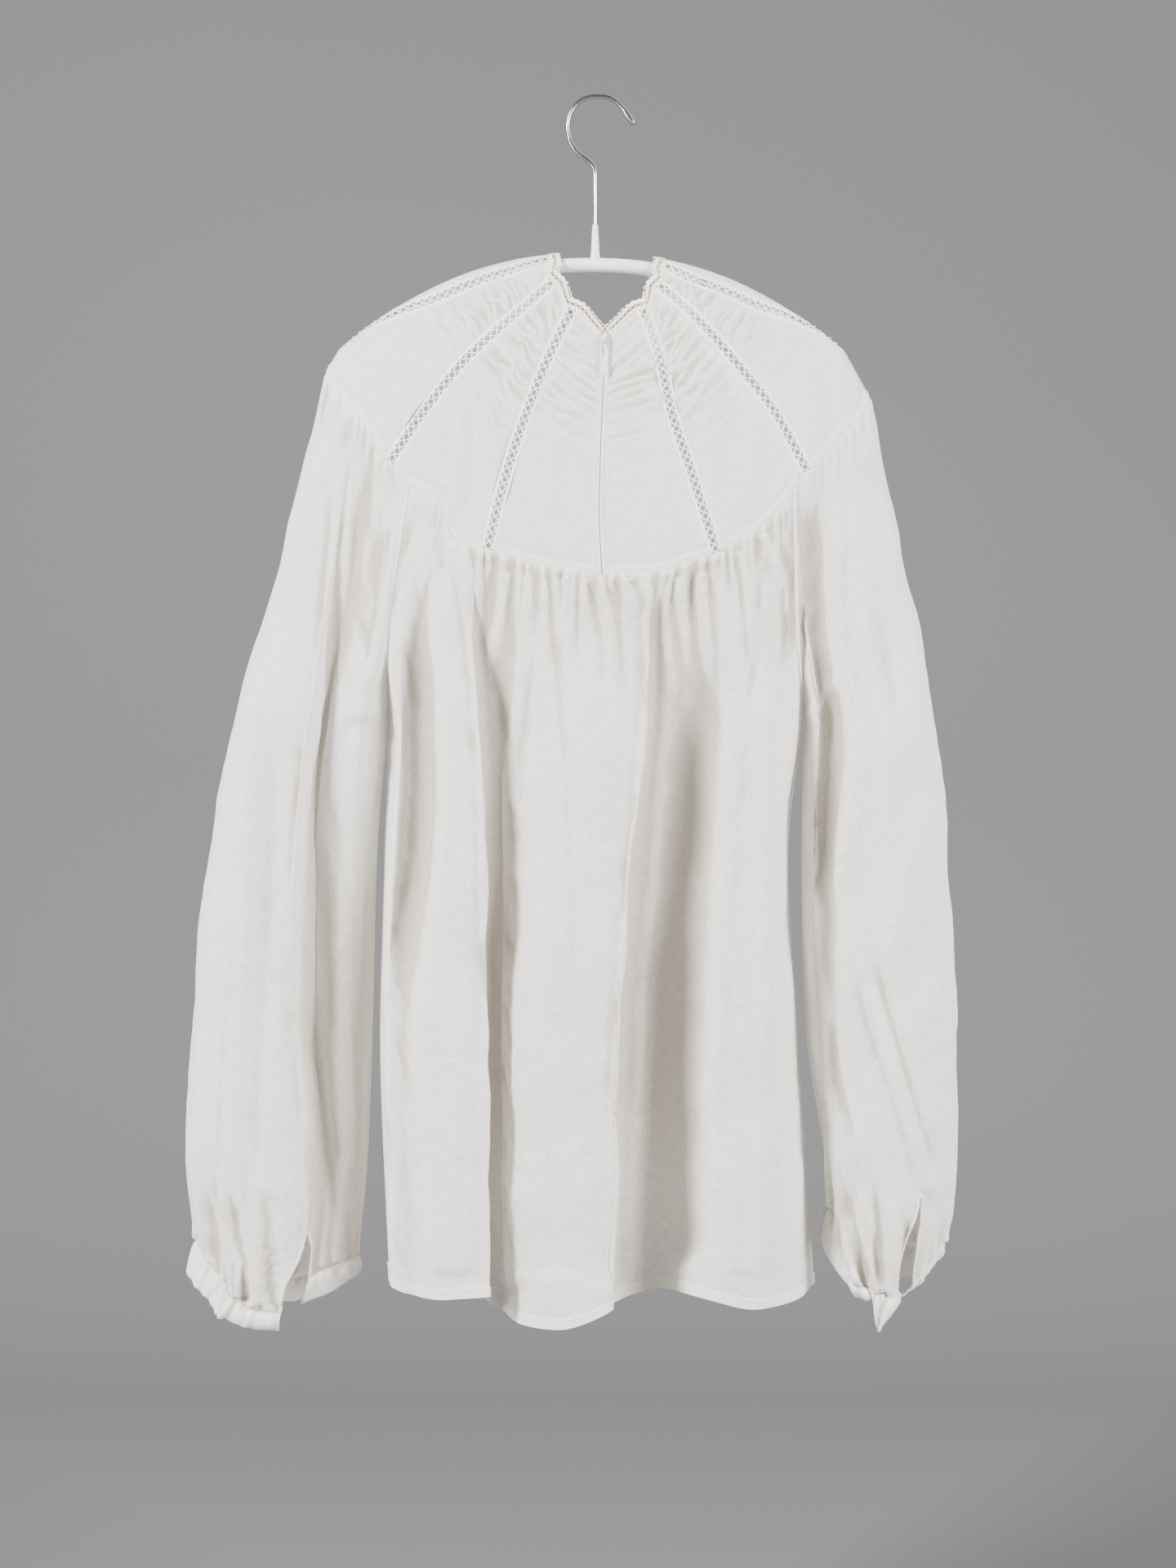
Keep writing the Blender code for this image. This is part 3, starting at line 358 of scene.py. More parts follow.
# %% Fine grids of the yoke
YOKE_ROWS = 150
YOKE_SHARES = np.linspace(0, 1, YOKE_ROWS)
COLUMN_MM = 2.2


def fine_columns(lines, step=COLUMN_MM, numbers=False):
    """Columns between the yoke's lines, and on request the number of each line's own."""
    tables = np.array(lines)
    at = along_line(on_yoke(tables[:, -1, 0], tables[:, -1, 1]))
    marks = [0.0]
    own = [0]
    for start, end in zip(at, at[1:]):
        pieces = max(1, int(round((end - start) / step)))
        marks += [start + (end - start) * (i + 1) / pieces for i in range(pieces)]
        own.append(len(marks) - 1)
    columns = smooth(marks, at, tables.reshape(len(tables), -1)).reshape(len(marks), -1, 2)
    return (columns, own) if numbers else columns


def yoke_grid(tables, start, shares=YOKE_SHARES):
    """Rows of points and their cloth places (x, way round), from the start outward."""
    columns = []
    places = []
    for table in tables:
        points = on_yoke(table[:, 0], table[:, 1])
        along = along_line(points)
        stops = start + (along[-1] - start) * shares
        columns.append(spaced(points, stops))
        places.append(np.stack([np.interp(stops, along, table[:, k]) for k in (0, 1)], axis=1))
    return np.array(columns).transpose(1, 0, 2), np.array(places).transpose(1, 0, 2)


def grid_faces(rows, columns, first=0):
    """Four-sided faces of a grid of points, facing out of the blouse."""
    return [
        (first + r * columns + c, first + (r + 1) * columns + c,
         first + (r + 1) * columns + c + 1, first + r * columns + c + 1)
        for r in range(rows - 1)
        for c in range(columns - 1)
    ]


def grid_normals(grid):
    """Which way the cloth faces at each point of a grid."""
    down = np.gradient(grid, axis=0)
    across = np.gradient(grid, axis=1)
    return unit(np.cross(down, across))


print("columns round the yoke:", len(fine_columns([line for _, line in YOKE])))

# %% [markdown]
# ## Creases and puckers
# Real cloth is never as smooth as its pattern. A crease here is a line in the plane of
# the view with a width on each side, and a height along the cloth's own outward
# direction: a ridge is plus, a trough minus. Puckers are many small ones, drawn from a
# fixed seed so that they come out the same each time.

# %% Creases
CREASE_POINTS = 24
REACH_IN_WIDTHS = 3


def beside(spots, line):
    """Distance of spots from a line of points, plus on its right, and how far along."""
    best = np.full(len(spots), 1e9)
    side = np.zeros(len(spots))
    part = np.zeros(len(spots))
    line = np.array(line, float)
    before = along_line(line)
    for k, length in enumerate(np.linalg.norm(np.diff(line, axis=0), axis=1)):
        way = (line[k + 1] - line[k]) / length
        away = spots - line[k]
        t = np.clip(away @ way, 0, length)
        miss = away - t[:, None] * way
        far = np.linalg.norm(miss, axis=1)
        near = far < best
        best[near] = far[near]
        side[near] = np.sign(way[0] * miss[near, 1] - way[1] * miss[near, 0])
        part[near] = (before[k] + t[near]) / before[-1]
    return -best * side, part


def curve_through(line):
    """A smooth line through a few points."""
    line = np.array(line, float)
    at = along_line(line)
    return smooth(np.linspace(0, at[-1], CREASE_POINTS), at, line)


def creased(grid, creases, facing=-1):
    """A grid moved by creases, on the side that faces the viewer (-1) or away (1)."""
    normals = grid_normals(grid)
    flat = grid.reshape(-1, 3)
    spots = seen(flat)
    shown = np.clip(normals.reshape(-1, 3)[:, 1] * facing * 2.5, 0, 1)
    move = np.zeros(len(flat))
    for height, left, right, ends, *line in creases:
        path = curve_through(line)
        margin = REACH_IN_WIDTHS * max(left, right)
        low, high = path.min(axis=0) - margin, path.max(axis=0) + margin
        near = np.nonzero(((spots > low) & (spots < high)).all(axis=1) & (shown > 0))[0]
        if not len(near):
            continue
        away, part = beside(spots[near], path)
        wide = np.where(away < 0, left, right)
        swell = fade(part / ends[0]) * fade((1 - part) / ends[1])
        move[near] += height * np.exp(-(away / wide) ** 2) * swell
    move *= shown
    return grid + normals * move.reshape(grid.shape[:2])[..., None]


def ruffled(points, seed, size, waves):
    """Soft uneven ripples, the same for each seed, to add to a sheet of spots."""
    rng = np.random.default_rng(seed)
    total = np.zeros(points.shape[:-1])
    for _ in range(waves):
        angle = rng.uniform(0, 2 * math.pi)
        length = rng.uniform(0.6, 1.7)
        way = np.array([math.cos(angle), math.sin(angle)]) * 2 * math.pi / length
        total += np.sin(points @ way + rng.uniform(0, 2 * math.pi))
    return total * size / math.sqrt(waves)


print("a crease is seen beside its line at", beside(np.array([[1.0, 0.5]]), [(0, 0), (0, 1)])[0])

# %% [markdown]
# ## Cloth as an object
# A panel's mesh carries three things besides its shape: where each point lies on the
# flat cloth, as a UV map in tenths of a metre, so that the weave follows the folds; how
# many extra layers lie there, such as a hem's; and how deep the point lies in a hollow
# between folds, which sets how much painted shade darkens it. The material reads all three.

# %% Panels of cloth
# Sizes of the hollows that get painted shade.
PAINTED_SHADE_SIZES = {
    # reach of the mean and depth of a full hollow in mm, and whether it runs across
    "folds": ((17.0, 6.0, True), (34.0, 14.0, True)),
    "gathers": ((3.2, 0.55, True),),
    "puckers": ((3.0, 0.4, False),),
}
FOLD_SHARE = 0.6
CREST_LIMIT = -0.15


def plain_mesh(name, points, faces, material):
    """A named object from points in millimetres."""
    mesh = bpy.data.meshes.new(name)
    mesh.from_pydata((np.asarray(points) * MM).tolist(), [], faces)
    mesh.materials.append(material)
    mesh.shade_smooth()
    thing = bpy.data.objects.new(name, mesh)
    bpy.context.scene.collection.objects.link(thing)
    return thing


def smoothed_along(grid, reach):
    """Each row of a grid as a mean of its points over a reach in millimetres."""
    out = np.empty_like(grid)
    for k, row in enumerate(grid):
        at = along_line(row)
        weight = np.exp(-0.5 * ((at[:, None] - at[None, :]) / reach) ** 2)
        out[k] = weight @ row / weight.sum(axis=1)[:, None]
    return out


def painted_shade_depth(grid, folds=0.0, gathers=0.0, puckers=0.0):
    """How deep each point lies between folds, gathers or puckers, from 0 to 1, as the amount of
    painted shade.
    """
    normals = grid_normals(grid)
    deep = np.zeros(grid.shape[:2])
    turned = grid.transpose(1, 0, 2)
    wanted = {"folds": folds * FOLD_SHARE, "gathers": gathers, "puckers": puckers}
    for kind, share in wanted.items():
        for reach, depth, across in PAINTED_SHADE_SIZES[kind] if share else ():
            mean = (smoothed_along(grid, reach) if across
                    else smoothed_along(turned, reach).transpose(1, 0, 2))
            below = ((mean - grid) * normals).sum(axis=-1)
            deep += share * np.clip(below / depth, CREST_LIMIT, 1)
    return np.clip(deep, 0, 1)


def cloth_piece(name, grid, places, layers, material, faces=None, painted_shade=None):
    """A panel of cloth with its weave places, its extra layers and the painted shade of its
    hollows.
    """
    if faces is None:
        faces = grid_faces(*grid.shape[:2])
    thing = plain_mesh(name, grid.reshape(-1, 3), faces, material)
    mesh = thing.data
    corners = np.empty(len(mesh.loops), int)
    mesh.loops.foreach_get("vertex_index", corners)
    uv = mesh.uv_layers.new(name="weave")
    uv.data.foreach_set("uv", (places.reshape(-1, 2)[corners] / 100).ravel())
    painted_shade = np.zeros(np.shape(layers)) if painted_shade is None else painted_shade
    for kind, values in (("layers", layers), ("painted_shade", painted_shade)):
        attribute = mesh.attributes.new(kind, "FLOAT", "POINT")
        attribute.data.foreach_set("value", np.ascontiguousarray(values, float).ravel())
    return thing


def grid_area(grid):
    """Area of a grid in square metres."""
    a = grid[1:, 1:] - grid[:-1, :-1]
    b = grid[1:, :-1] - grid[:-1, 1:]
    return float(np.linalg.norm(np.cross(a, b), axis=-1).sum() / 2) * MM * MM


square = np.array([[(0, 0, 0), (10, 0, 0)], [(0, 0, -10), (10, 0, -10)]])
print("a 10 mm square measures", grid_area(square), "square metres")

# %% [markdown]
# ## Shader sums
# A material's pattern is a sum of noises and steps. Written as nodes, each sum is a node
# and two links, which hides the idea, so a small class wraps a socket and lets the usual
# signs build the nodes.

# %% A socket that can be added and multiplied


def put(tree, socket, value):
    """Set a socket to a number, or link a wire to it."""
    if isinstance(value, Wire):
        tree.links.new(value.socket, socket)
    else:
        socket.default_value = value


def made(tree, kind, settings, sockets, output=0):
    """The one way to add a node: its kind, its settings, then its sockets."""
    node = tree.nodes.new(kind)
    for name, value in settings.items():
        setattr(node, name, value)
    for name, value in sockets.items():
        put(tree, node.inputs[name], value)
    return Wire(tree, node.outputs[output])


class Wire:
    """An output of a node, with the usual signs as Math nodes."""

    def __init__(self, tree, socket):
        self.tree = tree
        self.socket = socket

    def sum(self, operation, *others):
        """A Math node of this wire and other wires or numbers."""
        return made(self.tree, "ShaderNodeMath", {"operation": operation},
                    dict(enumerate((self,) + others)))

    def __add__(self, other):
        return self.sum("ADD", other)

    def __mul__(self, other):
        return self.sum("MULTIPLY", other)

    __radd__ = __add__
    __rmul__ = __mul__

    def over(self, low, high):
        """A soft step from 0 at low to 1 at high."""
        return made(self.tree, "ShaderNodeMapRange", {"interpolation_type": "SMOOTHSTEP"},
                    {"Value": self, "From Min": low, "From Max": high}, "Result")

    def kept(self, low=0.0, high=1.0):
        """The value held between two limits."""
        return self.sum("MAXIMUM", low).sum("MINIMUM", high)


def noise(tree, place, stretch, detail):
    """Noise over a place, with so many waves for each unit each way."""
    waves = made(tree, "ShaderNodeVectorMath", {"operation": "MULTIPLY"}, {0: place, 1: stretch})
    return made(tree, "ShaderNodeTexNoise", {},
                {"Vector": waves, "Scale": 1.0, "Detail": detail}, "Fac")


def two_colours(tree, share, first, second, blend="MIX"):
    """A colour between two, or the first times the second, by a wire."""
    ends = [c if isinstance(c, Wire) else (*c, 1) for c in (first, second)]
    return made(tree, "ShaderNodeMix", {"data_type": "RGBA", "blend_type": blend},
                {0: share, 6: ends[0], 7: ends[1]}, 2)


def bumped(tree, face, height, strength, distance):
    """Relief too fine for the mesh: a height in metres on the shader's normal."""
    put(tree, face.inputs["Normal"],
        made(tree, "ShaderNodeBump", {},
             {"Strength": strength, "Distance": distance, "Height": height}, "Normal"))


def set_all(face, **values):
    """Constant values on the shader's own sockets."""
    for name, value in values.items():
        face.inputs[name.replace("_", " ").title()].default_value = value


def new_material(name, place, **values):
    """A material: its tree, where its pattern lies, its shader and output."""
    material = bpy.data.materials.new(name)
    material.use_nodes = True
    tree = material.node_tree
    face = tree.nodes["Principled BSDF"]
    set_all(face, **values)
    return material, tree, made(tree, *place), face


OBJECT_PLACE = ("ShaderNodeTexCoord", {}, {}, "Object")
WEAVE_PLACE = ("ShaderNodeUVMap", {"uv_map": "weave"}, {}, "UV")
print("signs that add nodes:", "+ *", "and soft steps")

# %% [markdown]
# ## Voile
# Voile is a plain weave of thin, uneven threads. Seen close, each thread is a little
# thicker or thinner along its way, and now and then a slub makes a short bright dash.
# Light goes three ways: some comes back, some glows through, and a little passes the
# gaps between threads. So the shader mixes a Principled, a Translucent and a
# Transparent shader, and the gaps close where layers lie on each other. In the hollows
# of folds and gathers the base colour is multiplied by a darker, warmer tint: painted
# shade, read from an attribute of the mesh that says how deep each point lies.

# %% The voile's finish
VOILE_WHITE = (0.90, 0.875, 0.84)
VOILE_SHADE = (0.76, 0.73, 0.69)
# Painted shade: the tint that the colour in the hollows is multiplied by.
PAINTED_SHADE_TINT = (0.66, 0.62, 0.56)
GLOW = (0.88, 0.83, 0.76)
GLOW_SHARE = 0.16
SLUB_STEP = (0.61, 0.70)


def voile(name, open_share):
    """Sheer white cloth; open_share is the share of light that passes its gaps."""
    material, tree, place, face = new_material(
        name, WEAVE_PLACE, roughness=0.85, sheen_weight=0.15, sheen_roughness=0.5)
    warp = noise(tree, place, (130, 14, 1), 2)
    weft = noise(tree, place, (9, 130, 1), 2)
    thick_down = noise(tree, place, (190, 18, 1), 1).over(*SLUB_STEP)
    thick_across = noise(tree, place, (11, 190, 1), 1).over(*SLUB_STEP)
    slubs = (thick_down + thick_across).kept()
    threads = (warp + weft) * 0.5
    layers, painted_shade = (made(tree, "ShaderNodeAttribute", {"attribute_name": kind}, {}, "Fac")
                      for kind in ("layers", "painted_shade"))
    tint = (threads.over(0.35, 0.62) * 0.7 + slubs * 0.6 + layers * 0.2).kept()
    plain = two_colours(tree, tint, VOILE_SHADE, VOILE_WHITE)
    # Painted shade: the base colour is darkened and warmed in the hollows, by the mesh's shade
    # attribute.
    put(tree, face.inputs["Base Color"],
        two_colours(tree, painted_shade, plain, PAINTED_SHADE_TINT, "MULTIPLY"))
    bumped(tree, face, threads + slubs * 0.4, 0.5, 0.0004)
    glow = made(tree, "ShaderNodeBsdfTranslucent", {}, {"Color": (*GLOW, 1)})
    through = made(tree, "ShaderNodeMixShader", {},
                   {"Fac": GLOW_SHARE, 1: Wire(tree, face.outputs[0]), 2: glow})
    gaps = made(tree, "ShaderNodeBsdfTransparent", {}, {})
    cover = threads.over(0.30, 0.60) * 0.16 + slubs * 0.25 + layers * 0.3
    cover = (cover + (1 - open_share - 0.08)).kept(0, 0.995)
    weave = made(tree, "ShaderNodeMixShader", {}, {"Fac": cover, 1: gaps, 2: through})
    put(tree, tree.nodes["Material Output"].inputs["Surface"], weave)
    return material


BODY_VOILE = voile("voile", 0.13)
CUFF_VOILE = voile("voile_doubled", 0.02)
print("cloth:", BODY_VOILE.name, CUFF_VOILE.name)

# %% [markdown]
# ## Thread, enamel, coated wire
# Thread is matt with a fine twist. The zip's slider is enamelled, the hanger's bar has a
# smooth plastic coat with faint marks, and the hook is drawn wire with fine lines along
# its length.

# %% The other finishes


def thread_finish(name, colour):
    """Matt cotton thread with a twist in its bump."""
    material, tree, place, face = new_material(name, OBJECT_PLACE, roughness=0.8,
                                               sheen_weight=0.2)
    rough = noise(tree, place, (1500, 1500, 1500), 2)
    shade = tuple(0.9 * c for c in colour)
    put(tree, face.inputs["Base Color"], two_colours(tree, rough.over(0.3, 0.6), shade, colour))
    bumped(tree, face, rough, 0.4, 0.0002)
    return material


def smooth_finish(name, colour, roughness, marks, metallic=0.0, stretch=(60, 60, 60)):
    """A smooth coat or metal whose shine varies a little with its marks."""
    material, tree, place, face = new_material(name, OBJECT_PLACE, metallic=metallic)
    worn = noise(tree, place, stretch, 4)
    shade = tuple(0.92 * c for c in colour)
    put(tree, face.inputs["Base Color"], two_colours(tree, worn.over(0.3, 0.7), shade, colour))
    put(tree, face.inputs["Roughness"], worn * marks + (roughness - marks / 2))
    bumped(tree, face, worn, 0.12, 0.0004)
    return material


THREAD = thread_finish("cotton_thread", (0.88, 0.865, 0.84))
PICOT_THREAD = thread_finish("edging_thread", (0.87, 0.845, 0.81))
EYELET_THREAD = thread_finish("eyelet_thread", (0.50, 0.37, 0.26))
COIL = smooth_finish("zip_coil", (0.76, 0.735, 0.70), 0.5, 0.15)
ENAMEL = smooth_finish("zip_enamel", (0.78, 0.77, 0.74), 0.3, 0.15)
COAT = smooth_finish("hanger_coat", (0.86, 0.855, 0.84), 0.36, 0.2, stretch=(25, 60, 60))
WIRE = smooth_finish("hook_wire", (0.46, 0.455, 0.45), 0.26, 0.2, 1.0, (900, 900, 60))
print("finishes:", [m.name for m in (THREAD, COIL, ENAMEL, COAT, WIRE)])

# %% [markdown]
# ## What repeats along a line
# Stitches, openwork threads, picots and zip teeth all repeat along a line and stand on
# the cloth. One Geometry Nodes tree serves them all: it turns a chain of edges into a
# curve, spaces points along it, and puts a small shape on each, turned along the line
# and facing out of the cloth. It ends in Realize Instances and Set Material, and the
# result is kept as a plain mesh.

# %% The tree that repeats a shape


def repeat_tree():
    """Geometry Nodes: a shape at every pitch along a chain of edges."""
    tree = bpy.data.node_groups.new("repeat_along", "GeometryNodeTree")
    for name, kind in (("Geometry", "Geometry"), ("Shape", "Object"), ("Pitch", "Float"),
                       ("Material", "Material")):
        tree.interface.new_socket(name, in_out="INPUT", socket_type="NodeSocket" + kind)
    tree.interface.new_socket("Geometry", in_out="OUTPUT", socket_type="NodeSocketGeometry")
    given = tree.nodes.new("NodeGroupInput").outputs
    chain, shape, pitch, finish = (Wire(tree, given[k]) for k in range(4))
    curve = made(tree, "GeometryNodeMeshToCurve", {}, {"Mesh": chain})
    even = made(tree, "GeometryNodeResampleCurve", {"mode": "LENGTH"},
                {"Curve": curve, "Length": pitch})
    tangent = made(tree, "GeometryNodeInputTangent", {}, {})
    outward = made(tree, "GeometryNodeInputNamedAttribute", {"data_type": "FLOAT_VECTOR"},
                   {"Name": "outward"}, "Attribute")
    along = made(tree, "FunctionNodeAlignRotationToVector", {"axis": "X"}, {"Vector": tangent})
    up = made(tree, "FunctionNodeAlignRotationToVector", {"axis": "Z", "pivot_axis": "X"},
              {"Rotation": along, "Vector": outward})
    small = made(tree, "GeometryNodeObjectInfo", {}, {"Object": shape}, "Geometry")
    placed_on = made(tree, "GeometryNodeInstanceOnPoints", {},
                     {"Points": even, "Instance": small, "Rotation": up})
    real = made(tree, "GeometryNodeRealizeInstances", {}, {"Geometry": placed_on})
    painted = made(tree, "GeometryNodeSetMaterial", {}, {"Geometry": real, "Material": finish})
    put(tree, tree.nodes.new("NodeGroupOutput").inputs["Geometry"], painted)
    return tree


REPEAT = repeat_tree()


def repeated(name, chains, shape, pitch, material):
    """A plain mesh of a shape repeated along chains of (points, outward) in millimetres."""
    points, outward, edges = [], [], []
    for line, away in chains:
        first = len(points)
        points.extend(np.asarray(line) * MM)
        outward.extend(away)
        edges.extend((first + k, first + k + 1) for k in range(len(line) - 1))
    mesh = bpy.data.meshes.new(name)
    mesh.from_pydata([tuple(p) for p in points], edges, [])
    attribute = mesh.attributes.new("outward", "FLOAT_VECTOR", "POINT")
    attribute.data.foreach_set("vector", np.array(outward, float).ravel())
    thing = bpy.data.objects.new(name, mesh)
    bpy.context.scene.collection.objects.link(thing)
    modifier = thing.modifiers.new("repeat", "NODES")
    modifier.node_group = REPEAT
    values = {"Shape": shape, "Pitch": pitch * MM, "Material": material}
    for item in REPEAT.interface.items_tree:
        if item.in_out == "INPUT" and item.name in values:
            modifier[item.identifier] = values[item.name]
    graph = bpy.context.evaluated_depsgraph_get()
    result = bpy.data.meshes.new_from_object(thing.evaluated_get(graph))
    thing.modifiers.clear()
    thing.data = result
    result.name = name
    result.shade_smooth()
    result.materials.clear()
    result.materials.append(material)
    result.polygons.foreach_set("material_index", [0] * len(result.polygons))
    print(name, len(result.polygons), "faces")
    return thing


def ring_faces(rows, around, turned=False):
    """Faces round a row of rings, and one at each end."""
    faces = []
    for k in range(rows - 1):
        for i in range(around):
            a, b = k * around + i, k * around + (i + 1) % around
            face = (a, b, b + around, a + around)
            faces.append((a, *face[:0:-1]) if turned else face)
    first = tuple(range(around))
    last = tuple((rows - 1) * around + i for i in range(around))
    return faces + ([first, last[::-1]] if turned else [first[::-1], last])


def swept(line, side, radii, sides, flat=1.0):
    """A closed tube along a line; side is one way across it, and flat squashes the other."""
    line = np.array(line, float)
    side = np.broadcast_to(side, line.shape)
    up = np.cross(side, unit(np.gradient(line, axis=0)))
    turn = np.linspace(0, 2 * math.pi, sides, endpoint=False)
    ring = np.cos(turn)[:, None] * side[:, None] + flat * np.sin(turn)[:, None] * up[:, None]
    radii = np.broadcast_to(radii, (len(line),))
    points = (line[:, None] + radii[:, None, None] * ring).reshape(-1, 3)
    return points, ring_faces(len(line), sides)


def joined(name, parts, material):
    """One object from several closed parts, each given as (points, faces)."""
    points, faces = [], []
    for more, around in parts:
        faces += [tuple(i + len(points) for i in f) for f in around]
        points += list(more)
    thing = plain_mesh(name, points, faces, material)
    solid = bmesh.new()
    solid.from_mesh(thing.data)
    bmesh.ops.recalc_face_normals(solid, faces=solid.faces)
    solid.to_mesh(thing.data)
    solid.free()
    return thing


def shape_of(name, tubes):
    """A hidden small shape made of tubes, for the tree to repeat."""
    parts = []
    for path, radius, sides, flat in tubes:
        along = unit(np.gradient(np.array(path, float), axis=0))
        parts.append(swept(path, unit(np.cross(along, (0, 0, 1.0))), radius, sides, flat))
    thing = joined(name, parts, THREAD)
    bpy.context.scene.collection.objects.unlink(thing)
    return thing


STITCH = shape_of("stitch", [([(-1.15, 0, -0.12), (-0.75, 0, 0.12), (0, 0, 0.2), (0.75, 0, 0.12),
                               (1.15, 0, -0.12)], (0.1, 0.2, 0.22, 0.2, 0.1), 5, 0.8)])
print("stitch faces:", len(STITCH.data.polygons))

# %% [markdown]
# ## Openwork, edging and the zip's coil
# The openwork is a ladder of crossed threads between two narrow bands. Each crossing is
# one repeated shape: two threads that pass over each other, thicker where they are
# sewn in. The edging at the neck has small eyelets with a picot over each. The coil of
# the concealed zip shows only as fine ribs between the folded edges.

# %% Small shapes that repeat
CROSS_PITCH = 5.7
CROSS_HALF = 2.8
EYELET_PITCH = 4.0
THREAD_RADIUS = 0.54


def crossing():
    """Two crossed threads between the bands of the openwork."""
    share = np.linspace(-1, 1, 9)
    tubes = []
    for side in (-1, 1):
        path = [(CROSS_PITCH / 2 * t, side * CROSS_HALF * t * (1.12 - 0.12 * t * t),
                 0.15 + side * 0.2 * math.cos(t * math.pi / 2)) for t in share]
        tubes.append((path, THREAD_RADIUS + 0.2 * share ** 4, 6, 0.8))
    return shape_of("crossing", tubes)


def rung_and_picot():
    """One rung between two eyelets, and the small loop above it."""
    path = [(0, -1.5, 0.1), (0, -0.6, 0.4), (0, 0.6, 0.4), (0, 1.5, 0.1)]
    rung = (path, (1.35, 1.1, 1.1, 1.35), 8, 0.5)
    turn = np.linspace(0.1 * math.pi, 0.9 * math.pi, 7)
    loop = [(1.5 * math.cos(t), 3.4 + 0.75 * math.sin(t), 0.1) for t in turn]
    return shape_of("rung", [rung]), shape_of("picot", [(loop, 0.45, 5, 1.0)])


def coil_turn():
    """One turn of the zip's coil, a flat loop across the gap."""
    path = [(-0.25, -1.1, 0), (0.1, -0.6, 0.45), (0.1, 0.6, 0.45), (-0.25, 1.1, 0)]
    return shape_of("coil_turn", [(path, 0.28, 5, 0.9)])


CROSSING = crossing()
RUNG, PICOT = rung_and_picot()
COIL_TURN = coil_turn()
print("crossing faces:", len(CROSSING.data.polygons))

# %% [markdown]
# ## The yoke's panels
# Each panel is a straight-grained piece of voile between two strips of openwork. Near
# the neck it is drawn in by the edging, so small puckers cross it from strip to strip;
# towards its outer edge it hangs smooth, with a soft drape fold behind each shoulder.
# The outer edge is turned under and stitched down over the gathers.

# %% Panels of the yoke
TURN_IN = 0.035
ROLL_HEIGHT = 0.45
# How strongly painted shade darkens the hollows between the yoke's puckers.
YOKE_PAINTED_SHADE = 0.95
YOKE_CREASES = (
    # height, width left, width right, fading at start and end, line (x, height) as seen
    (3.0, 9, 5, (0.3, 0.25), (-98, -216), (-99, -255), (-103, -300)),
    (-2.6, 5, 12, (0.3, 0.25), (-90, -212), (-90, -252), (-94, -300)),
    (1.6, 5, 5, (0.3, 0.3), (-118, -190), (-128, -215), (-134, -240)),
    (-1.5, 7, 7, (0.3, 0.3), (-72, -205), (-66, -240), (-66, -290)),
    (1.4, 6, 7, (0.3, 0.3), (-40, -190), (-34, -240), (-30, -296)),
    (-1.2, 5, 8, (0.3, 0.4), (30, -180), (34, -230), (38, -290)),
    (1.5, 7, 5, (0.3, 0.3), (104, -200), (108, -240), (106, -282)),
    (-1.4, 7, 8, (0.3, 0.3), (84, -190), (90, -230), (92, -280)),
    (1.6, 6, 8, (0.3, 0.3), (134, -178), (148, -205), (156, -240)),
    (1.3, 4, 6, (0.3, 0.3), (24, -176), (44, -186), (66, -190)),
    (-1.2, 4, 5, (0.3, 0.3), (26, -186), (46, -196), (70, -204)),
    (1.1, 4, 5, (0.3, 0.3), (28, -200), (46, -208), (64, -220)),
    (1.0, 4, 5, (0.3, 0.3), (-16, -186), (-34, -196), (-50, -212)),
    (-1.0, 4, 5, (0.3, 0.3), (-14, -196), (-32, -208), (-48, -226)),
)
PANELS = (
    # name, first line, last line, pucker height, seed
    ("yoke_back_right", "zip_right", "openwork_back_right.a", 1.6, 3),
    ("yoke_side_right", "openwork_back_right.c", "openwork_side_right.a", 2.5, 5),
    ("yoke_shoulder_right", "openwork_side_right.c", "openwork_shoulder_right.a", 2.3, 8),
    ("yoke_front", "openwork_shoulder_right.c", "openwork_shoulder_left.a", 0.6, 13),
    ("yoke_shoulder_left", "openwork_shoulder_left.c", "openwork_side_left.a", 2.3, 21),
    ("yoke_side_left", "openwork_side_left.c", "openwork_back_left.a", 2.7, 34),
    ("yoke_back_left", "openwork_back_left.c", "zip_left", 1.6, 55),
)


def puckered(grid, shares, height, seed, count=26):
    """Small puckers that cross a panel, closest and deepest near the neck."""
    rng = np.random.default_rng(seed)
    rows, columns = grid.shape[:2]
    across = np.linspace(0, 1, columns)[None, :]
    down = np.asarray(shares)[:, None]
    move = np.zeros((rows, columns))
    place = 0.03
    for _ in range(count):
        place += rng.uniform(0.016, 0.038)
        size = rng.uniform(0.5, 1.0) * math.exp(-((place - 0.2) / 0.27) ** 2)
        middle = rng.uniform(0.0, 1.0)
        reach = rng.uniform(0.3, 0.7)
        lean = rng.uniform(-0.05, 0.05)
        width = rng.uniform(0.008, 0.015)
        bow = 0.02 * (across - 0.5) ** 2
        far = (down - place - lean * (across - middle) - bow) / width
        move += size * np.exp(-far ** 2) * np.exp(-((across - middle) / reach) ** 2)
    ends = fade(np.minimum(across, 1 - across) / 0.08) * 0.8 + 0.2
    move = (move - move.mean()) * height * ends * fade(down / 0.03) * fade((1 - down) / 0.25)
    return grid + grid_normals(grid) * move[..., None]


def line_number(name):
    """A line's number in the order round the neck."""
    return YOKE_NAMES.index(name)


def dressed(thing, node):
    """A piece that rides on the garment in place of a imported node."""
    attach(thing, "garment")
    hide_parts(node)
    return thing


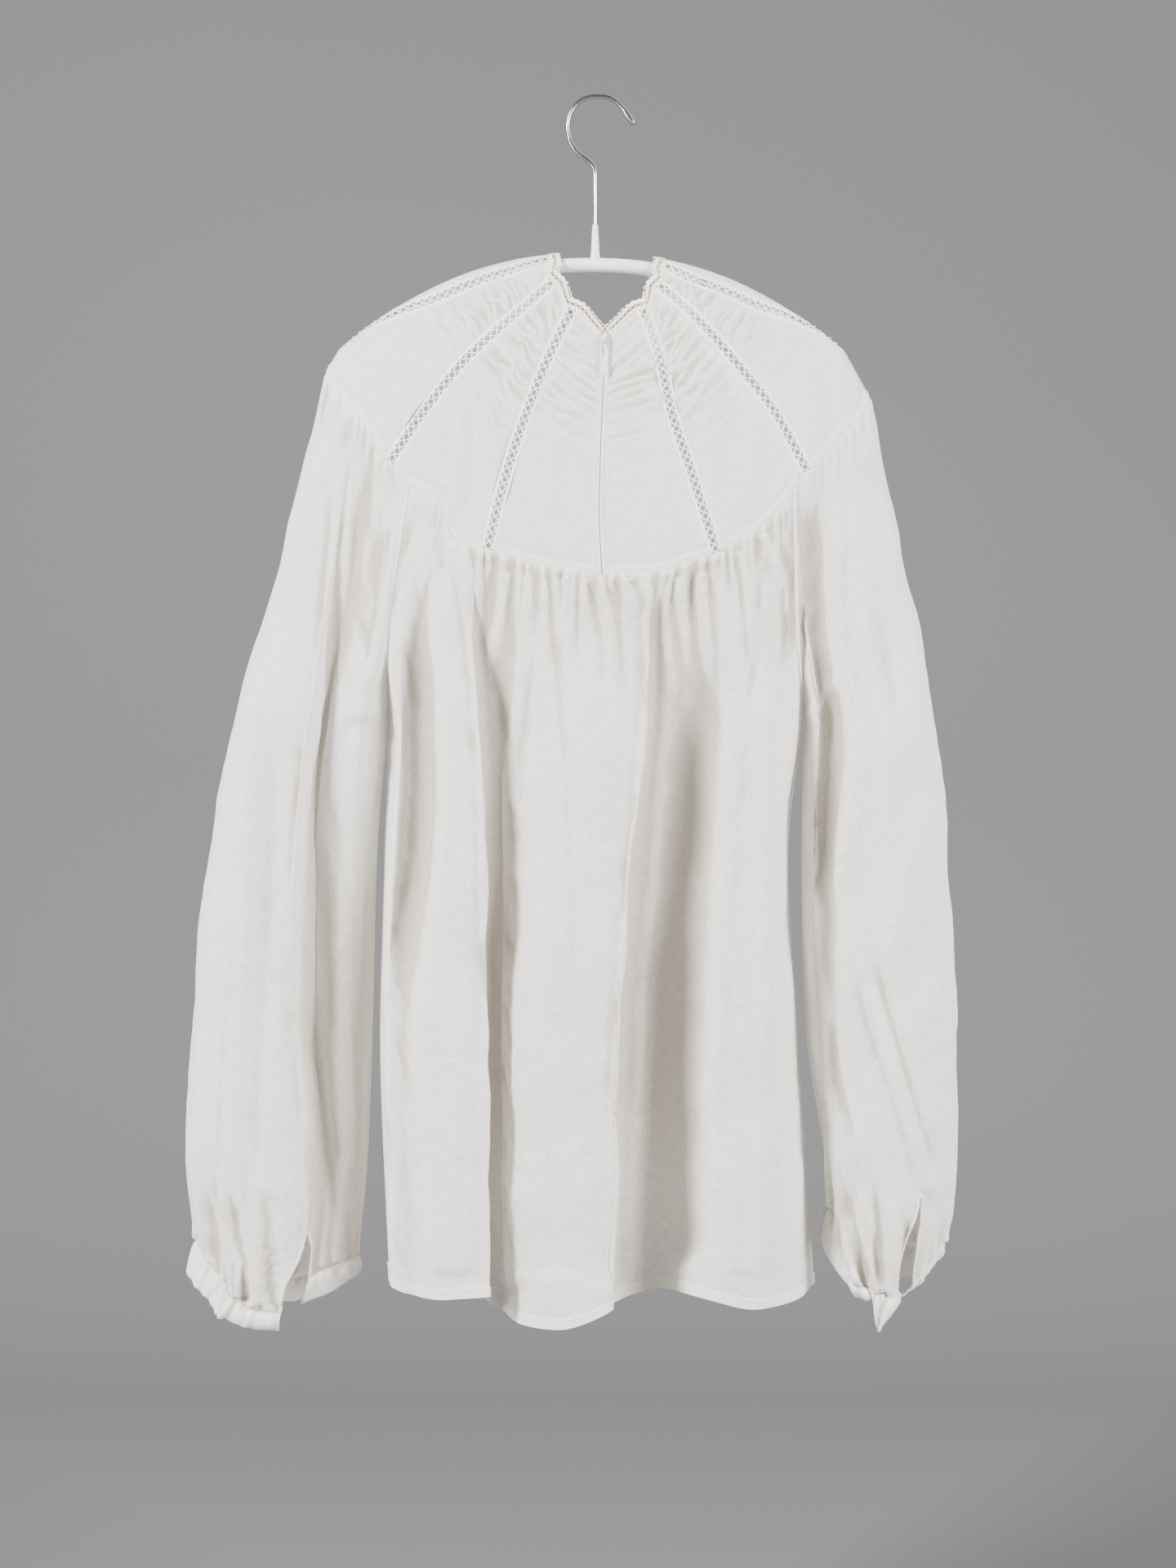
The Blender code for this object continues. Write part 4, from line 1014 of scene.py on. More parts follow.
def yoke_panel(name, first, last, height, seed):
    """One panel of the yoke, its grid, and its outer edge with its lines' places."""
    lines = [line for _, line in YOKE[line_number(first):line_number(last) + 1]]
    tables, own = fine_columns(lines, numbers=True)
    grid, places = yoke_grid(tables, NECK_EDGING)
    edge = grid[-1].copy()
    grid = puckered(grid, YOKE_SHARES, height, seed)
    if name != "yoke_front":
        grid = creased(grid, YOKE_CREASES)
    grid[-1] = edge
    rolled = ROLL_HEIGHT * fade((YOKE_SHARES[:, None, None] - (1 - TURN_IN)) / 0.012)
    grid = grid + grid_normals(grid) * rolled
    turned_in = (YOKE_SHARES > 1 - TURN_IN).astype(float)
    layers = np.repeat(turned_in[:, None], grid.shape[1], axis=1)
    layers[:3] = 1
    layers[:, :2] = 1
    layers[:, -2:] = 1
    # The hollows between puckers are darkened with painted shade.
    thing = cloth_piece(name + "_panel", grid, places, layers, BODY_VOILE,
                        painted_shade=painted_shade_depth(grid, puckers=YOKE_PAINTED_SHADE))
    return dressed(thing, name), grid, (edge, own)


yoke_sheets, yoke_grids, yoke_edges = {}, {}, {}
for name, *plan in PANELS:
    yoke_sheets[name], yoke_grids[name], yoke_edges[name] = yoke_panel(name, *plan)
    print(name, yoke_grids[name].shape[:2])

# %% [markdown]
# ## The openwork strips
# A strip is two narrow bands with crossed threads between them. The bands follow the
# same lines as the panels beside them, a little higher, as a seam is.

# %% Bands beside the openwork
BAND_SHARES = (0.0, 0.2, 0.5, 0.8, 1.0)
STRIP_BAND = (0.05, 0.3, 0.35)  # lift off the cloth, thickness, roundness


def band(left, right, lift, thick, crown=0.5):
    """A narrow closed band between two lines of (point, outward), with a round back."""
    (a, na), (b, nb) = left, right
    top, under = [], []
    for s in BAND_SHARES:
        middle = a * (1 - s) + b * s
        normal = unit(na * (1 - s) + nb * s)
        top.append(middle + normal * (lift + thick * (0.5 + crown * math.sin(math.pi * s))))
        under.append(middle + normal * (lift - thick * 0.5))
    ring = np.array(top + under[::-1]).transpose(1, 0, 2)
    return ring.reshape(-1, 3), ring_faces(*ring.shape[:2], turned=True)


def merge_into(thing, other):
    """Add another object's mesh and finish to this one, and remove the other."""
    finish = other.data.materials[0]
    if finish.name not in [m.name for m in thing.data.materials]:
        thing.data.materials.append(finish)
    number = [m.name for m in thing.data.materials].index(finish.name)
    solid = bmesh.new()
    solid.from_mesh(thing.data)
    first = len(solid.faces)
    solid.from_mesh(other.data)
    for face in list(solid.faces)[first:]:
        face.material_index = number
    solid.to_mesh(thing.data)
    solid.free()
    mesh = other.data
    bpy.data.objects.remove(other)
    bpy.data.meshes.remove(mesh)


def strip_line(name, rows=90, start=NECK_EDGING):
    """A line of the yoke as (points, outward)."""
    table = YOKE[line_number(name)][1]
    pair = np.array([table, table + np.array([0.5, 0.0])])
    grid, _ = yoke_grid(pair, start, np.linspace(0, 1, rows))
    return grid[:, 0], grid_normals(grid)[:, 0]


def openwork(name):
    """One strip: a band at each side and a ladder of crossed threads."""
    left, middle, right = (strip_line(name + "." + side) for side in "abc")
    inner = 1 - CROSS_HALF / (STRIP_WIDTH / 2)

    def inward(edge):
        return edge[0] * (1 - inner) + middle[0] * inner, edge[1]

    bands = [band(left, inward(left), *STRIP_BAND), band(inward(right), right, *STRIP_BAND)]
    thing = joined(name + "_ladder", bands, THREAD)
    merge_into(thing, repeated(name + "_threads", [middle], CROSSING, CROSS_PITCH, THREAD))
    return dressed(thing, name)


openwork_pieces = [openwork(name) for name in SEAM_LINES if name.startswith("openwork")]
print("strips of openwork:", len(openwork_pieces))

# %% [markdown]
# ## The neck's edging
# A narrow bought trimming finishes the neck: two cords joined by rungs, which leave a row
# of eyelets, with a small loop over each. Its rungs are a light brown, so they
# are a second small shape with a finish of their own.

# %% Edging round the neck
EDGING_STEP = 7.2
EYELET_MIDDLE = 3.7
RAILS = ((-0.1, 2.8), (4.6, 7.1))  # each cord's edges, from the neck's edge down


def neck_rings(stops):
    """Lines round the neck at distances from its edge, as (points, outward)."""
    tables = fine_columns([line for _, line in YOKE], EDGING_STEP)
    grid, _ = yoke_grid(tables, 0.0, np.linspace(0, 1, 120))
    rows = []
    for stop in stops + [max(stops) + 1.0]:
        at = np.array([max(stop, 0.0)])
        rows.append([spaced(grid[:, c], at)[0] for c in range(grid.shape[1])])
    rows = np.array(rows)
    rows[0] += unit(rows[1] - rows[0]) * stops[0]
    normals = grid_normals(grid)[2]
    return [(row, normals) for row in rows[:-1]]


def edging():
    """Two cords, a rung between each two eyelets, and picots above."""
    rings = neck_rings([stop for rail in RAILS for stop in rail] + [EYELET_MIDDLE])
    rails = [band(rings[k], rings[k + 1], 0.15, 0.6) for k in (0, 2)]
    thing = joined("neck_picots", rails, PICOT_THREAD)
    for name, shape, finish in (("rungs", RUNG, EYELET_THREAD), ("picots", PICOT, PICOT_THREAD)):
        merge_into(thing, repeated(name, [rings[4]], shape, EYELET_PITCH, finish))
    return dressed(thing, "neck_edging")


neck_piece = edging()
print("edging:", len(neck_piece.data.polygons), "faces")

# %% [markdown]
# ## The concealed zip
# Two folded edges of cloth nearly meet over a fine coil, so that the zip shows as a
# narrow shaded line. They part a little at the slider. The slider and its pull tab keep
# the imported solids, with an enamel finish.

# %% Zip
ZIP_GAP = 0.3
SLIDER_GAP = 0.9
SLIDER_DOWN = 14
OPEN_BELOW = 22
ZIP_FOLD = 3.0
COIL_PITCH = 1.3


def zip_piece():
    """Tape, coil and the two folded edges over them."""
    left, right = (strip_line(name, 120, 0.0) for name in ("zip_left", "zip_right"))
    middle = ((left[0] + right[0]) / 2, unit(left[1] + right[1]))
    apart = unit(right[0] - left[0])
    open_at_slider = fade(1 - (along_line(middle[0]) - SLIDER_DOWN) / OPEN_BELOW)
    gap = (ZIP_GAP + SLIDER_GAP * open_at_slider)[:, None]
    parts = [band(left, right, -1.3, 0.5, 0.0)]
    for sign, line in ((-1, left), (1, right)):
        outer = (line[0] + apart * sign * (ZIP_FOLD - 1.5), line[1])
        inner = (middle[0] + apart * sign * gap, middle[1])
        pair = (outer, inner) if sign < 0 else (inner, outer)
        parts.append(band(*pair, 0.0, 0.14, 0.3))
    thing = joined("zip_and_folds", parts, COIL)
    coil_line = (middle[0] - middle[1] * 0.9, middle[1])
    merge_into(thing, repeated("zip_coil", [coil_line], COIL_TURN, COIL_PITCH, COIL))
    return dressed(thing, "zip_tape")


zip_tape = zip_piece()
for name in ("zip_slider", "zip_pull"):
    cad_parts[name].data.materials.clear()
    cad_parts[name].data.materials.append(ENAMEL)
print("zip faces:", len(zip_tape.data.polygons))

# %% [markdown]
# ## Hanging folds
# Below the yoke the cloth hangs. Each fold is a row of figures: its place on the yoke's
# edge, then x and depth at four heights and at the hem. Curves join them down the cloth
# and across it. Where a fold's x goes back on itself, the cloth laps over itself, as the
# sharp folds of the back do.

# %% Fold tables
UNDERARM = 0.25
LEVEL_SHARES = (0.0, 0.14, 0.25, 0.42, 0.63, 1.0)
LEVEL_Z = (-381, -433, -530, -644)
BACK_FOLDS = (
    # share, x at levels and hem,            y at levels and hem,      hem_z
    (0.060, (-136, -137, -141, -147, -142), (-27, -23, -26, -29, -30), -829),
    (0.120, (-125, -122, -124, -138, -133), (-24, -18, -20, -34, -36), -833),
    (0.175, (-101, -99, -103, -112, -106), (-40, -48, -52, -58, -64), -838),
    (0.210, (-87, -83, -79, -76, -76), (-40, -48, -54, -58, -64), -836),
    (0.228, (-87, -84, -82, -80, -80), (-35, -36, -37, -38, -40), -837),
    (0.262, (-77, -70, -66, -66, -68), (-29, -25, -23, -21, -20), -845),
    (0.375, (-38, -40, -44, -52, -55), (-38, -43, -46, -48, -50), -855),
    (0.485, (-6, -6, -14, -22, -24), (-42, -53, -60, -66, -71), -859),
    (0.612, (35, 34, 23, 16, 11), (-40, -48, -55, -60, -64), -845),
    (0.628, (34, 32, 20, 12, 8), (-35, -36, -38, -40, -42), -844),
    (0.700, (56, 57, 50, 42, 41), (-28, -21, -15, -10, -6), -830),
    (0.800, (96, 97, 87, 79, 75), (-35, -40, -42, -43, -45), -837),
    (0.885, (116, 116, 113, 112, 109), (-34, -46, -54, -62, -68), -845),
    (0.950, (130, 128, 128, 133, 139), (-24, -32, -36, -40, -42), -838),
)
FRONT_FOLDS = (
    (0.10, (120, 122, 121, 124, 130), (30, 36, 40, 44, 48), -790),
    (0.20, (92, 93, 92, 95, 98), (36, 34, 32, 32, 34), -789),
    (0.33, (55, 55, 55, 58, 60), (40, 48, 54, 58, 62), -790),
    (0.45, (18, 18, 17, 16, 16), (38, 38, 38, 38, 40), -789),
    (0.57, (-20, -21, -22, -24, -26), (41, 49, 56, 62, 66), -790),
    (0.69, (-56, -57, -60, -62, -65), (37, 36, 34, 33, 34), -789),
    (0.81, (-90, -92, -96, -100, -102), (35, 42, 50, 54, 56), -800),
    (0.91, (-120, -122, -128, -130, -128), (28, 32, 34, 36, 38), -796),
)
SLEEVE_LEVEL_SHARES = (0.0, 0.14, 0.25, 0.42, 0.63, 0.8, 1.0)
SLEEVE_LEVEL_Z = (-364, -433, -530, -644, -729)
LEFT_SLEEVE_FOLDS = (
    # share, x at levels and end,              y at levels and end,      end_z, cuff
    (0.10, (-158, -166, -172, -176, -178, -186), (20, 26, 28, 28, 26, 20), -812, -3, 18),
    (0.22, (-178, -190, -198, -206, -208, -212), (26, 38, 44, 46, 42, 32), -822, -4, 18),
    (0.35, (-206, -222, -236, -246, -248, -240), (22, 32, 40, 42, 38, 32), -818, -6, 20),
    (0.44, (-226, -244, -262, -273, -277, -264), (12, 18, 24, 26, 24, 16), -802, -8, 22),
    (0.50, (-234, -253, -271, -283, -288, -279), (0, 0, 0, 0, 0, 0), -796, -8, 21),
    (0.56, (-231, -251, -268, -280, -285, -270), (-14, -19, -25, -27, -27, -20), -812, -9, 18),
    (0.64, (-217, -240, -250, -262, -268, -257), (-27, -38, -45, -46, -45, -36), -832, -9, 15),
    (0.73, (-192, -204, -212, -224, -230, -238), (-30, -40, -44, -47, -48, -44), -846, -4, 11),
    (0.765, (-188, -197, -206, -207, -202, -220), (-27, -34, -36, -38, -40, -44), -848, -1, 11),
    (0.82, (-177, -190, -197, -197, -193, -201), (-17, -16, -13, -12, -18, -36), -822, -6, 19),
    (0.88, (-166, -180, -187, -186, -181, -188), (-22, -22, -17, -13, -14, -26), -816, -1, 18),
    (0.94, (-158, -166, -171, -173, -170, -174), (-27, -26, -20, -14, -12, -14), -811, 1, 13),
)
RIGHT_SLEEVE_FOLDS = (
    (0.06, (146, 154, 151, 152, 164, 165), (-24, -22, -22, -22, -22, -18), -784, -8, 20),
    (0.13, (156, 165, 160, 164, 174, 172), (-18, -15, -19, -28, -34, -32), -812, -2, 10),
    (0.20, (166, 174, 172, 182, 186, 184), (-24, -24, -32, -42, -46, -41), -830, 5, 9),
    (0.30, (186, 198, 200, 206, 208, 200), (-30, -40, -46, -50, -50, -45), -837, -4, 26),
    (0.345, (196, 208, 212, 216, 222, 210), (-26, -36, -43, -47, -48, -44), -836, -10, 13),
    (0.385, (205, 216, 220, 225, 232, 219), (-22, -32, -38, -42, -42, -36), -830, -9, 6),
    (0.45, (219, 230, 238, 244, 244, 233), (-12, -17, -22, -26, -24, -18), -814, -4, 9),
    (0.52, (222, 234, 244, 251, 251, 242), (0, 0, 0, 0, 0, 0), -797, -3, 10),
    (0.58, (217, 228, 238, 244, 244, 232), (12, 18, 22, 24, 24, 18), -800, -4, 18),
    (0.68, (196, 208, 214, 218, 222, 206), (22, 32, 38, 40, 38, 32), -800, -5, 24),
    (0.80, (172, 182, 184, 188, 196, 180), (27, 38, 42, 44, 40, 32), -794, -8, 24),
    (0.91, (150, 158, 158, 160, 170, 166), (20, 24, 26, 28, 26, 18), -778, -8, 24),
)
ARMHOLES = {
    "left_back": ((-147, -22, -381), (-146, 0, -432)),
    "left_front": ((-147, 22, -381), (-146, 0, -432)),
    "right_back": ((140, -20, -381), (144, 0, -430)),
    "right_front": ((140, 20, -381), (144, 0, -430)),
}
SIDE_SEAMS = {
    # x at the levels below the underarm, then x and z at the end
    "body_left": ((-149, -152), -146, -818),
    "body_right": ((133, 139), 151, -826),
    "sleeve_left": ((-154, -157, -160), -167, -808),
    "sleeve_right": ((142, 145, 157), 162, -768),
}
print("folds:", len(BACK_FOLDS), len(FRONT_FOLDS), len(LEFT_SLEEVE_FOLDS),
      len(RIGHT_SLEEVE_FOLDS))

# %% [markdown]
# ## Cloth hung from the yoke's edge
# A hanging piece is a grid of points: its columns start on the yoke's edge, and each
# follows the fold tables down to the hem. Small gathers are added at the seam, where the
# maker's running stitch draws the cloth in, and die out below it.

# %% Cloth hung from the yoke's edge
EDGE_REACH = 0.2  # the share of a piece's length where the yoke's edge still shapes it


def whole_edge():
    """The yoke's outer edge all round, and where each of its lines ends on it."""
    points = []
    at_line = {}
    for name, first, last, _, _ in PANELS:
        edge, own = yoke_edges[name]
        for k, number in enumerate(own):
            at_line[line_number(first) + k] = len(points) + number
        points.extend(edge)
        if not last.startswith("zip"):
            middle = YOKE[line_number(last) + 1][1]
            at_line[line_number(last) + 1] = len(points)
            points.append(on_yoke(*middle[-1]))
    return np.array(points), at_line


def seam_curve(start, armhole, side, rows):
    """A seam from the yoke's edge to the underarm, then down to the hem."""
    xs, end_x, end_z = side
    of_sleeve = len(xs) == 3
    shares = SLEEVE_LEVEL_SHARES if of_sleeve else LEVEL_SHARES
    heights = (SLEEVE_LEVEL_Z if of_sleeve else LEVEL_Z)[2:]
    upper = [start] + [placed(p) for p in armhole]
    above = smooth([r for r in rows if r <= UNDERARM], shares[:3], upper)
    lower = [upper[-1]] + [placed((x, 0, z)) for x, z in zip(xs, heights)]
    lower.append(placed((end_x, 0, end_z)))
    below = smooth([r for r in rows if r > UNDERARM], shares[2:], lower)
    return np.concatenate([above, below])


def hung(edge, folds, seams, rows, level_shares, level_z):
    """Cloth hanging from the yoke's edge in folds, as rows of points."""
    along = along_line(edge)
    shares = along / along[-1]
    fold_shares = [0.0] + [f[0] for f in folds] + [1.0]
    curves = []
    for share, xs, ys, end_z in (fold[:4] for fold in folds):
        top = [np.interp(share, shares, edge[:, k]) for k in range(3)]
        levels = [top] + [placed(p) for p in zip(xs, ys, list(level_z) + [end_z])]
        curves.append(smooth(rows, level_shares, levels))
    grid = np.array([seams[0]] + curves + [seams[1]]).transpose(1, 0, 2)
    gaps = np.linalg.norm(np.diff(grid, axis=1), axis=2)
    gaps = gaps.mean(axis=0) * 0.8 + gaps.mean() * 0.2
    places = np.concatenate([[0], np.cumsum(gaps)])
    columns = smooth(shares, fold_shares, places)[:, 0]
    cloth_rows = np.array([smooth(columns, places, row) for row in grid])
    away = edge - cloth_rows[0]
    for k, row in enumerate(rows):
        left = max(0.0, 1 - row / EDGE_REACH)
        cloth_rows[k] += away * left * left * (3 - 2 * left)
    cloth_rows[:, 0] = seams[0]
    cloth_rows[:, -1] = seams[1]
    return cloth_rows, columns, places, along


def gathers(down, along, seed, height, reach, pitch, width):
    """Heights of uneven gathers that start at a seam and fade away from it."""
    rng = np.random.default_rng(seed)
    move = np.zeros_like(down)
    place = rng.uniform(1.0, 4.0)
    total = along.max()
    while place < total - 1.5:
        size = height * rng.uniform(0.35, 1.0)
        length = rng.uniform(*reach)
        wide = width * rng.uniform(0.7, 1.4) * (1 + down / 45)
        drift = rng.uniform(-0.05, 0.05) * down
        bump = np.exp(-np.abs((along - place - drift) / wide) ** 1.5)
        move += size * bump * (1 - fade(down / length))
        place += rng.uniform(*pitch)
    return move * fade(down / 4.5 + 0.12)


def lengths_down(grid):
    """Distance down each column from its first row."""
    step = np.linalg.norm(np.diff(grid, axis=0), axis=2)
    return np.concatenate([np.zeros((1, grid.shape[1])), np.cumsum(step, axis=0)])


EDGE, AT_LINE = whole_edge()
print("points round the yoke's edge:", len(EDGE))

# %% [markdown]
# ## Body and sleeves
# The back has a few deep folds with sharp laps, the front hangs in even waves and is
# shorter. The sleeves are full and drawn into the cuffs, so they have gathers at both
# ends. Creases that show best in the photograph's view are placed after that.

# %% Body and sleeves
HEM_DEPTH = 7.0
BODY_ROWS = np.concatenate([np.linspace(0, 0.05, 26), np.linspace(0.05, 0.975, 150)[1:],
                            np.linspace(0.975, 1, 12)[1:]])
SLEEVE_ROWS = np.concatenate([np.linspace(0, 0.05, 20), np.linspace(0.05, 0.9, 120)[1:],
                              np.linspace(0.9, 1, 36)[1:]])
BACK_CREASES = (
    # height, width left, width right, fading at start and end, line (x, height) as seen
    (2.6, 18, 4, (0.06, 0.02), (-109, -290), (-103, -310), (-96, -336), (-88, -376), (-83, -427),
     (-80, -490), (-79, -558), (-77, -695), (-77, -832)),
    (-3, 3.2, 12, (0.1, 0.02), (-93, -324), (-84, -370), (-78, -424), (-75, -490), (-74, -558),
     (-72, -695), (-72, -832)),
    (4, 10, 5, (0.2, 0.02), (-63, -421), (-62, -490), (-62, -558), (-60, -695), (-59, -832)),
    (2.5, 9, 7, (0.2, 0.3), (-121, -296), (-113, -353), (-108, -421), (-105, -501)),
    (-5, 12, 10, (0.15, 0.2), (-132, -364), (-125, -421), (-123, -478), (-128, -535),
     (-138, -592), (-141, -672)),
    (2.5, 5, 9, (0.2, 0.3), (-109, -387), (-108, -444), (-109, -501), (-116, -564), (-124, -626)),
    (3.2, 5, 16, (0.05, 0.3), (-36, -333), (-38, -364), (-34, -416), (-30, -461), (-26, -558),
     (-27, -672)),
    (2.6, 4, 6, (0.05, 0.35), (-48, -330), (-50, -387), (-54, -427), (-60, -478)),
    (2.4, 4, 5, (0.05, 0.35), (-63, -330), (-68, -364), (-74, -398)),
    (2.2, 4, 4, (0.05, 0.4), (-25, -333), (-23, -364), (-18, -404)),
    (2.4, 4, 4, (0.05, 0.4), (-11, -335), (-9, -358), (-6, -381)),
    (3, 4, 5, (0.05, 0.4), (2, -335), (9, -376), (13, -430)),
    (2.4, 4, 4, (0.05, 0.4), (19, -335), (24, -347), (28, -361)),
    (2.4, 26, 4.5, (0.03, 0.3), (37, -333), (36, -416), (31, -484), (23, -558), (19, -615),
     (15, -672), (13, -752), (11, -843)),
    (-4.5, 4, 36, (0.06, 0.05), (42, -347), (41, -416), (36, -484), (30, -558), (25, -615),
     (22, -672), (19, -752), (18, -837)),
    (-9, 17, 13, (0.15, 0.05), (74, -364), (76, -421), (73, -484), (68, -558), (64, -672),
     (59, -820)),
    (3.5, 6, 22, (0.1, 0.15), (90, -324), (99, -416), (92, -484), (87, -558), (82, -672),
     (78, -820)),
    (2.4, 4, 4, (0.05, 0.4), (56, -332), (60, -364), (63, -404)),
    (2.6, 4, 5, (0.05, 0.4), (72, -329), (76, -370), (78, -421)),
    (2.6, 4, 5, (0.05, 0.4), (100, -314), (106, -353), (110, -398)),
    (2.6, 4, 4, (0.05, 0.4), (116, -303), (123, -324), (130, -347)),
    (2.2, 14, 14, (0.3, 0.3), (119, -398), (122, -501), (120, -615), (116, -729)),
    (-2.5, 8, 6, (0.3, 0.3), (133, -444), (135, -530), (133, -615)),
    (-2.5, 18, 18, (0.5, 0.01), (-24, -644), (-30, -729), (-36, -820)),
    (2.5, 20, 12, (0.4, 0.01), (-98, -615), (-100, -729), (-103, -820)),
    (-2, 12, 12, (0.5, 0.01), (-128, -689), (-129, -752), (-131, -820)),
    (2, 12, 12, (0.5, 0.01), (96, -672), (99, -752), (101, -820)),
)
LEFT_SLEEVE_CREASES = (
    # height, width left, width right, fading at start and end, line (x, height) as seen
    (3.2, 18, 3.8, (0.1, 0.08), (-180, -250), (-187, -341), (-196, -427), (-204, -478),
     (-209, -558), (-210, -615), (-205, -672), (-197, -729), (-190, -786)),
    (-6, 3.6, 20, (0.1, 0.1), (-175, -250), (-182, -341), (-190, -427), (-198, -478),
     (-203, -558), (-204, -615), (-198, -672), (-192, -729), (-185, -786)),
    (3.2, 14, 6, (0.2, 0.05), (-236, -364), (-245, -444), (-247, -564), (-255, -672),
     (-258, -786)),
    (-2.2, 10, 10, (0.2, 0.1), (-223, -421), (-229, -501), (-231, -564), (-239, -672),
     (-243, -786)),
    (2, 10, 10, (0.3, 0.1), (-260, -501), (-268, -586), (-275, -672), (-276, -786)),
    (2.5, 8, 6, (0.3, 0.1), (-172, -507), (-176, -558), (-179, -626), (-178, -695), (-173, -763)),
    (2.2, 8, 8, (0.3, 0.3), (-190, -216), (-202, -284), (-211, -353)),
    (-2.5, 8, 8, (0.2, 0.3), (-178, -216), (-172, -273), (-168, -330)),
    (3, 4, 6, (0.2, 0.2), (-140, -280), (-146, -330), (-153, -387), (-163, -425)),
    (-3, 5, 5, (0.2, 0.2), (-149, -296), (-157, -353), (-163, -404)),
    (3, 5, 3.2, (0.4, 0.03), (-280, -752), (-275, -792), (-268, -829)),
    (-3, 3, 4, (0.4, 0.03), (-275, -752), (-268, -792), (-261, -832)),
    (3.6, 6, 3.2, (0.4, 0.03), (-264, -740), (-259, -786), (-252, -838)),
    (-3.2, 3, 4, (0.4, 0.03), (-259, -746), (-252, -792), (-245, -841)),
    (3, 6, 4, (0.4, 0.03), (-243, -729), (-239, -786), (-236, -843)),
    (-2.6, 3, 4, (0.4, 0.03), (-234, -752), (-230, -792), (-228, -843)),
    (3.2, 5, 3.5, (0.4, 0.03), (-223, -740), (-221, -792), (-220, -843)),
    (2.5, 4, 4, (0.3, 0.3), (-182, -435), (-166, -428), (-149, -431)),
    (-2.5, 5, 5, (0.3, 0.3), (-184, -447), (-169, -439), (-152, -442)),
)
RIGHT_SLEEVE_CREASES = (
    # height, width left, width right, fading at start and end, line (x, height) as seen
    (-6, 12, 12, (0.1, 0.15), (150, -279), (148, -324), (147, -364), (156, -410), (164, -444),
     (160, -501), (149, -569)),
    (3.5, 5, 16, (0.1, 0.2), (168, -284), (165, -330), (166, -376), (178, -421), (182, -455),
     (176, -512), (168, -569)),
    (4, 12, 4, (0.2, 0.08), (181, -592), (192, -638), (210, -695), (233, -772)),
    (-4, 5, 10, (0.2, 0.08), (190, -592), (202, -638), (220, -695), (239, -758)),
    (3, 9, 4, (0.3, 0.1), (153, -632), (158, -678), (169, -723), (179, -769)),
    (-2.5, 4, 8, (0.3, 0.1), (161, -632), (166, -678), (177, -723), (186, -769)),
    (2.5, 16, 12, (0.3, 0.3), (212, -296), (223, -387), (230, -478), (234, -569)),
    (-2, 12, 12, (0.3, 0.3), (193, -284), (203, -387), (209, -478)),
    (2.8, 5, 4, (0.2, 0.3), (140, -431), (150, -429), (161, -416), (168, -398)),
    (3, 5, 3.2, (0.4, 0.03), (166, -746), (172, -786), (182, -832)),
    (-2.8, 3, 4, (0.4, 0.03), (173, -752), (179, -792), (188, -835)),
    (3.4, 6, 3.2, (0.4, 0.03), (182, -740), (188, -786), (195, -838)),
    (-3, 3, 4, (0.4, 0.03), (190, -746), (196, -792), (201, -841)),
    (3.2, 5, 3.2, (0.4, 0.03), (203, -746), (205, -792), (207, -840)),
    (-4.5, 3.2, 4.5, (0.4, 0.03), (190, -778), (192, -800), (200, -838)),
    (-4, 3, 4, (0.4, 0.03), (178, -786), (184, -812), (194, -838)),
    (-5, 4.5, 3, (0.4, 0.03), (218, -774), (215, -805), (210, -836)),
    (1.8, 8, 8, (0.3, 0.2), (238, -586), (243, -672), (244, -746)),
    (-2, 6, 6, (0.3, 0.2), (153, -604), (152, -672), (156, -740)),
)
SPOT = {name: k for k, name in enumerate(YOKE_NAMES) if name != "between"}
CORNER_RIGHT = SPOT["openwork_side_right.a"] - 1
CORNER_LEFT = SPOT["openwork_side_left.c"] + 1


def part_of_edge(first, last, spacing):
    """Points along the yoke's edge from one line to another, past the zip if need be."""
    a, b = AT_LINE[first], AT_LINE[last]
    line = EDGE[a:b + 1] if a < b else np.concatenate([EDGE[a:], EDGE[:b + 1]])
    length = np.linalg.norm(np.diff(line, axis=0), axis=1).sum()
    return spaced(line, np.linspace(0, length, int(length / spacing) + 1))


HANGING = (
    # name, first line, last line, folds, first and last seam, spacing, seed, creases
    ("body_back", CORNER_LEFT, CORNER_RIGHT, BACK_FOLDS, ("left_back", "body_left"),
     ("right_back", "body_right"), 1.3, 2, BACK_CREASES),
    ("body_front", SPOT["front_armhole_right"], SPOT["front_armhole_left"], FRONT_FOLDS,
     ("right_front", "body_right"), ("left_front", "body_left"), 1.8, 4, ()),
    ("sleeve_right", CORNER_RIGHT, SPOT["front_armhole_right"], RIGHT_SLEEVE_FOLDS,
     ("right_back", "sleeve_right"), ("right_front", "sleeve_right"), 1.5, 6,
     RIGHT_SLEEVE_CREASES),
    ("sleeve_left", SPOT["front_armhole_left"], CORNER_LEFT, LEFT_SLEEVE_FOLDS,
     ("left_front", "sleeve_left"), ("left_back", "sleeve_left"), 1.5, 7,
     LEFT_SLEEVE_CREASES),
)


SEAM_FADE = 8
YOKE_GATHERS = (
    # added to the piece's seed, height, reach down the cloth, spacing, width
    (0, 4.8, (16, 90), (4.5, 12.0), 1.8),
    (20, 1.3, (6, 15), (2.6, 5.4), 1.0),
)
CUFF_GATHERS = (
    (40, 6.0, (20, 105), (7.0, 16.0), 2.9),
    (60, 2.0, (7, 18), (3.5, 7.5), 1.3),
)
# Lengths at both ends of a piece's top edge that are sewn in smooth, and how full the
# gathers between them are.
PLAIN_ENDS = {"body_back": ((52, 4), 1.0), "body_front": ((30, 30), 0.8),
              "sleeve_right": ((4, 10), 0.42), "sleeve_left": ((10, 4), 0.42)}


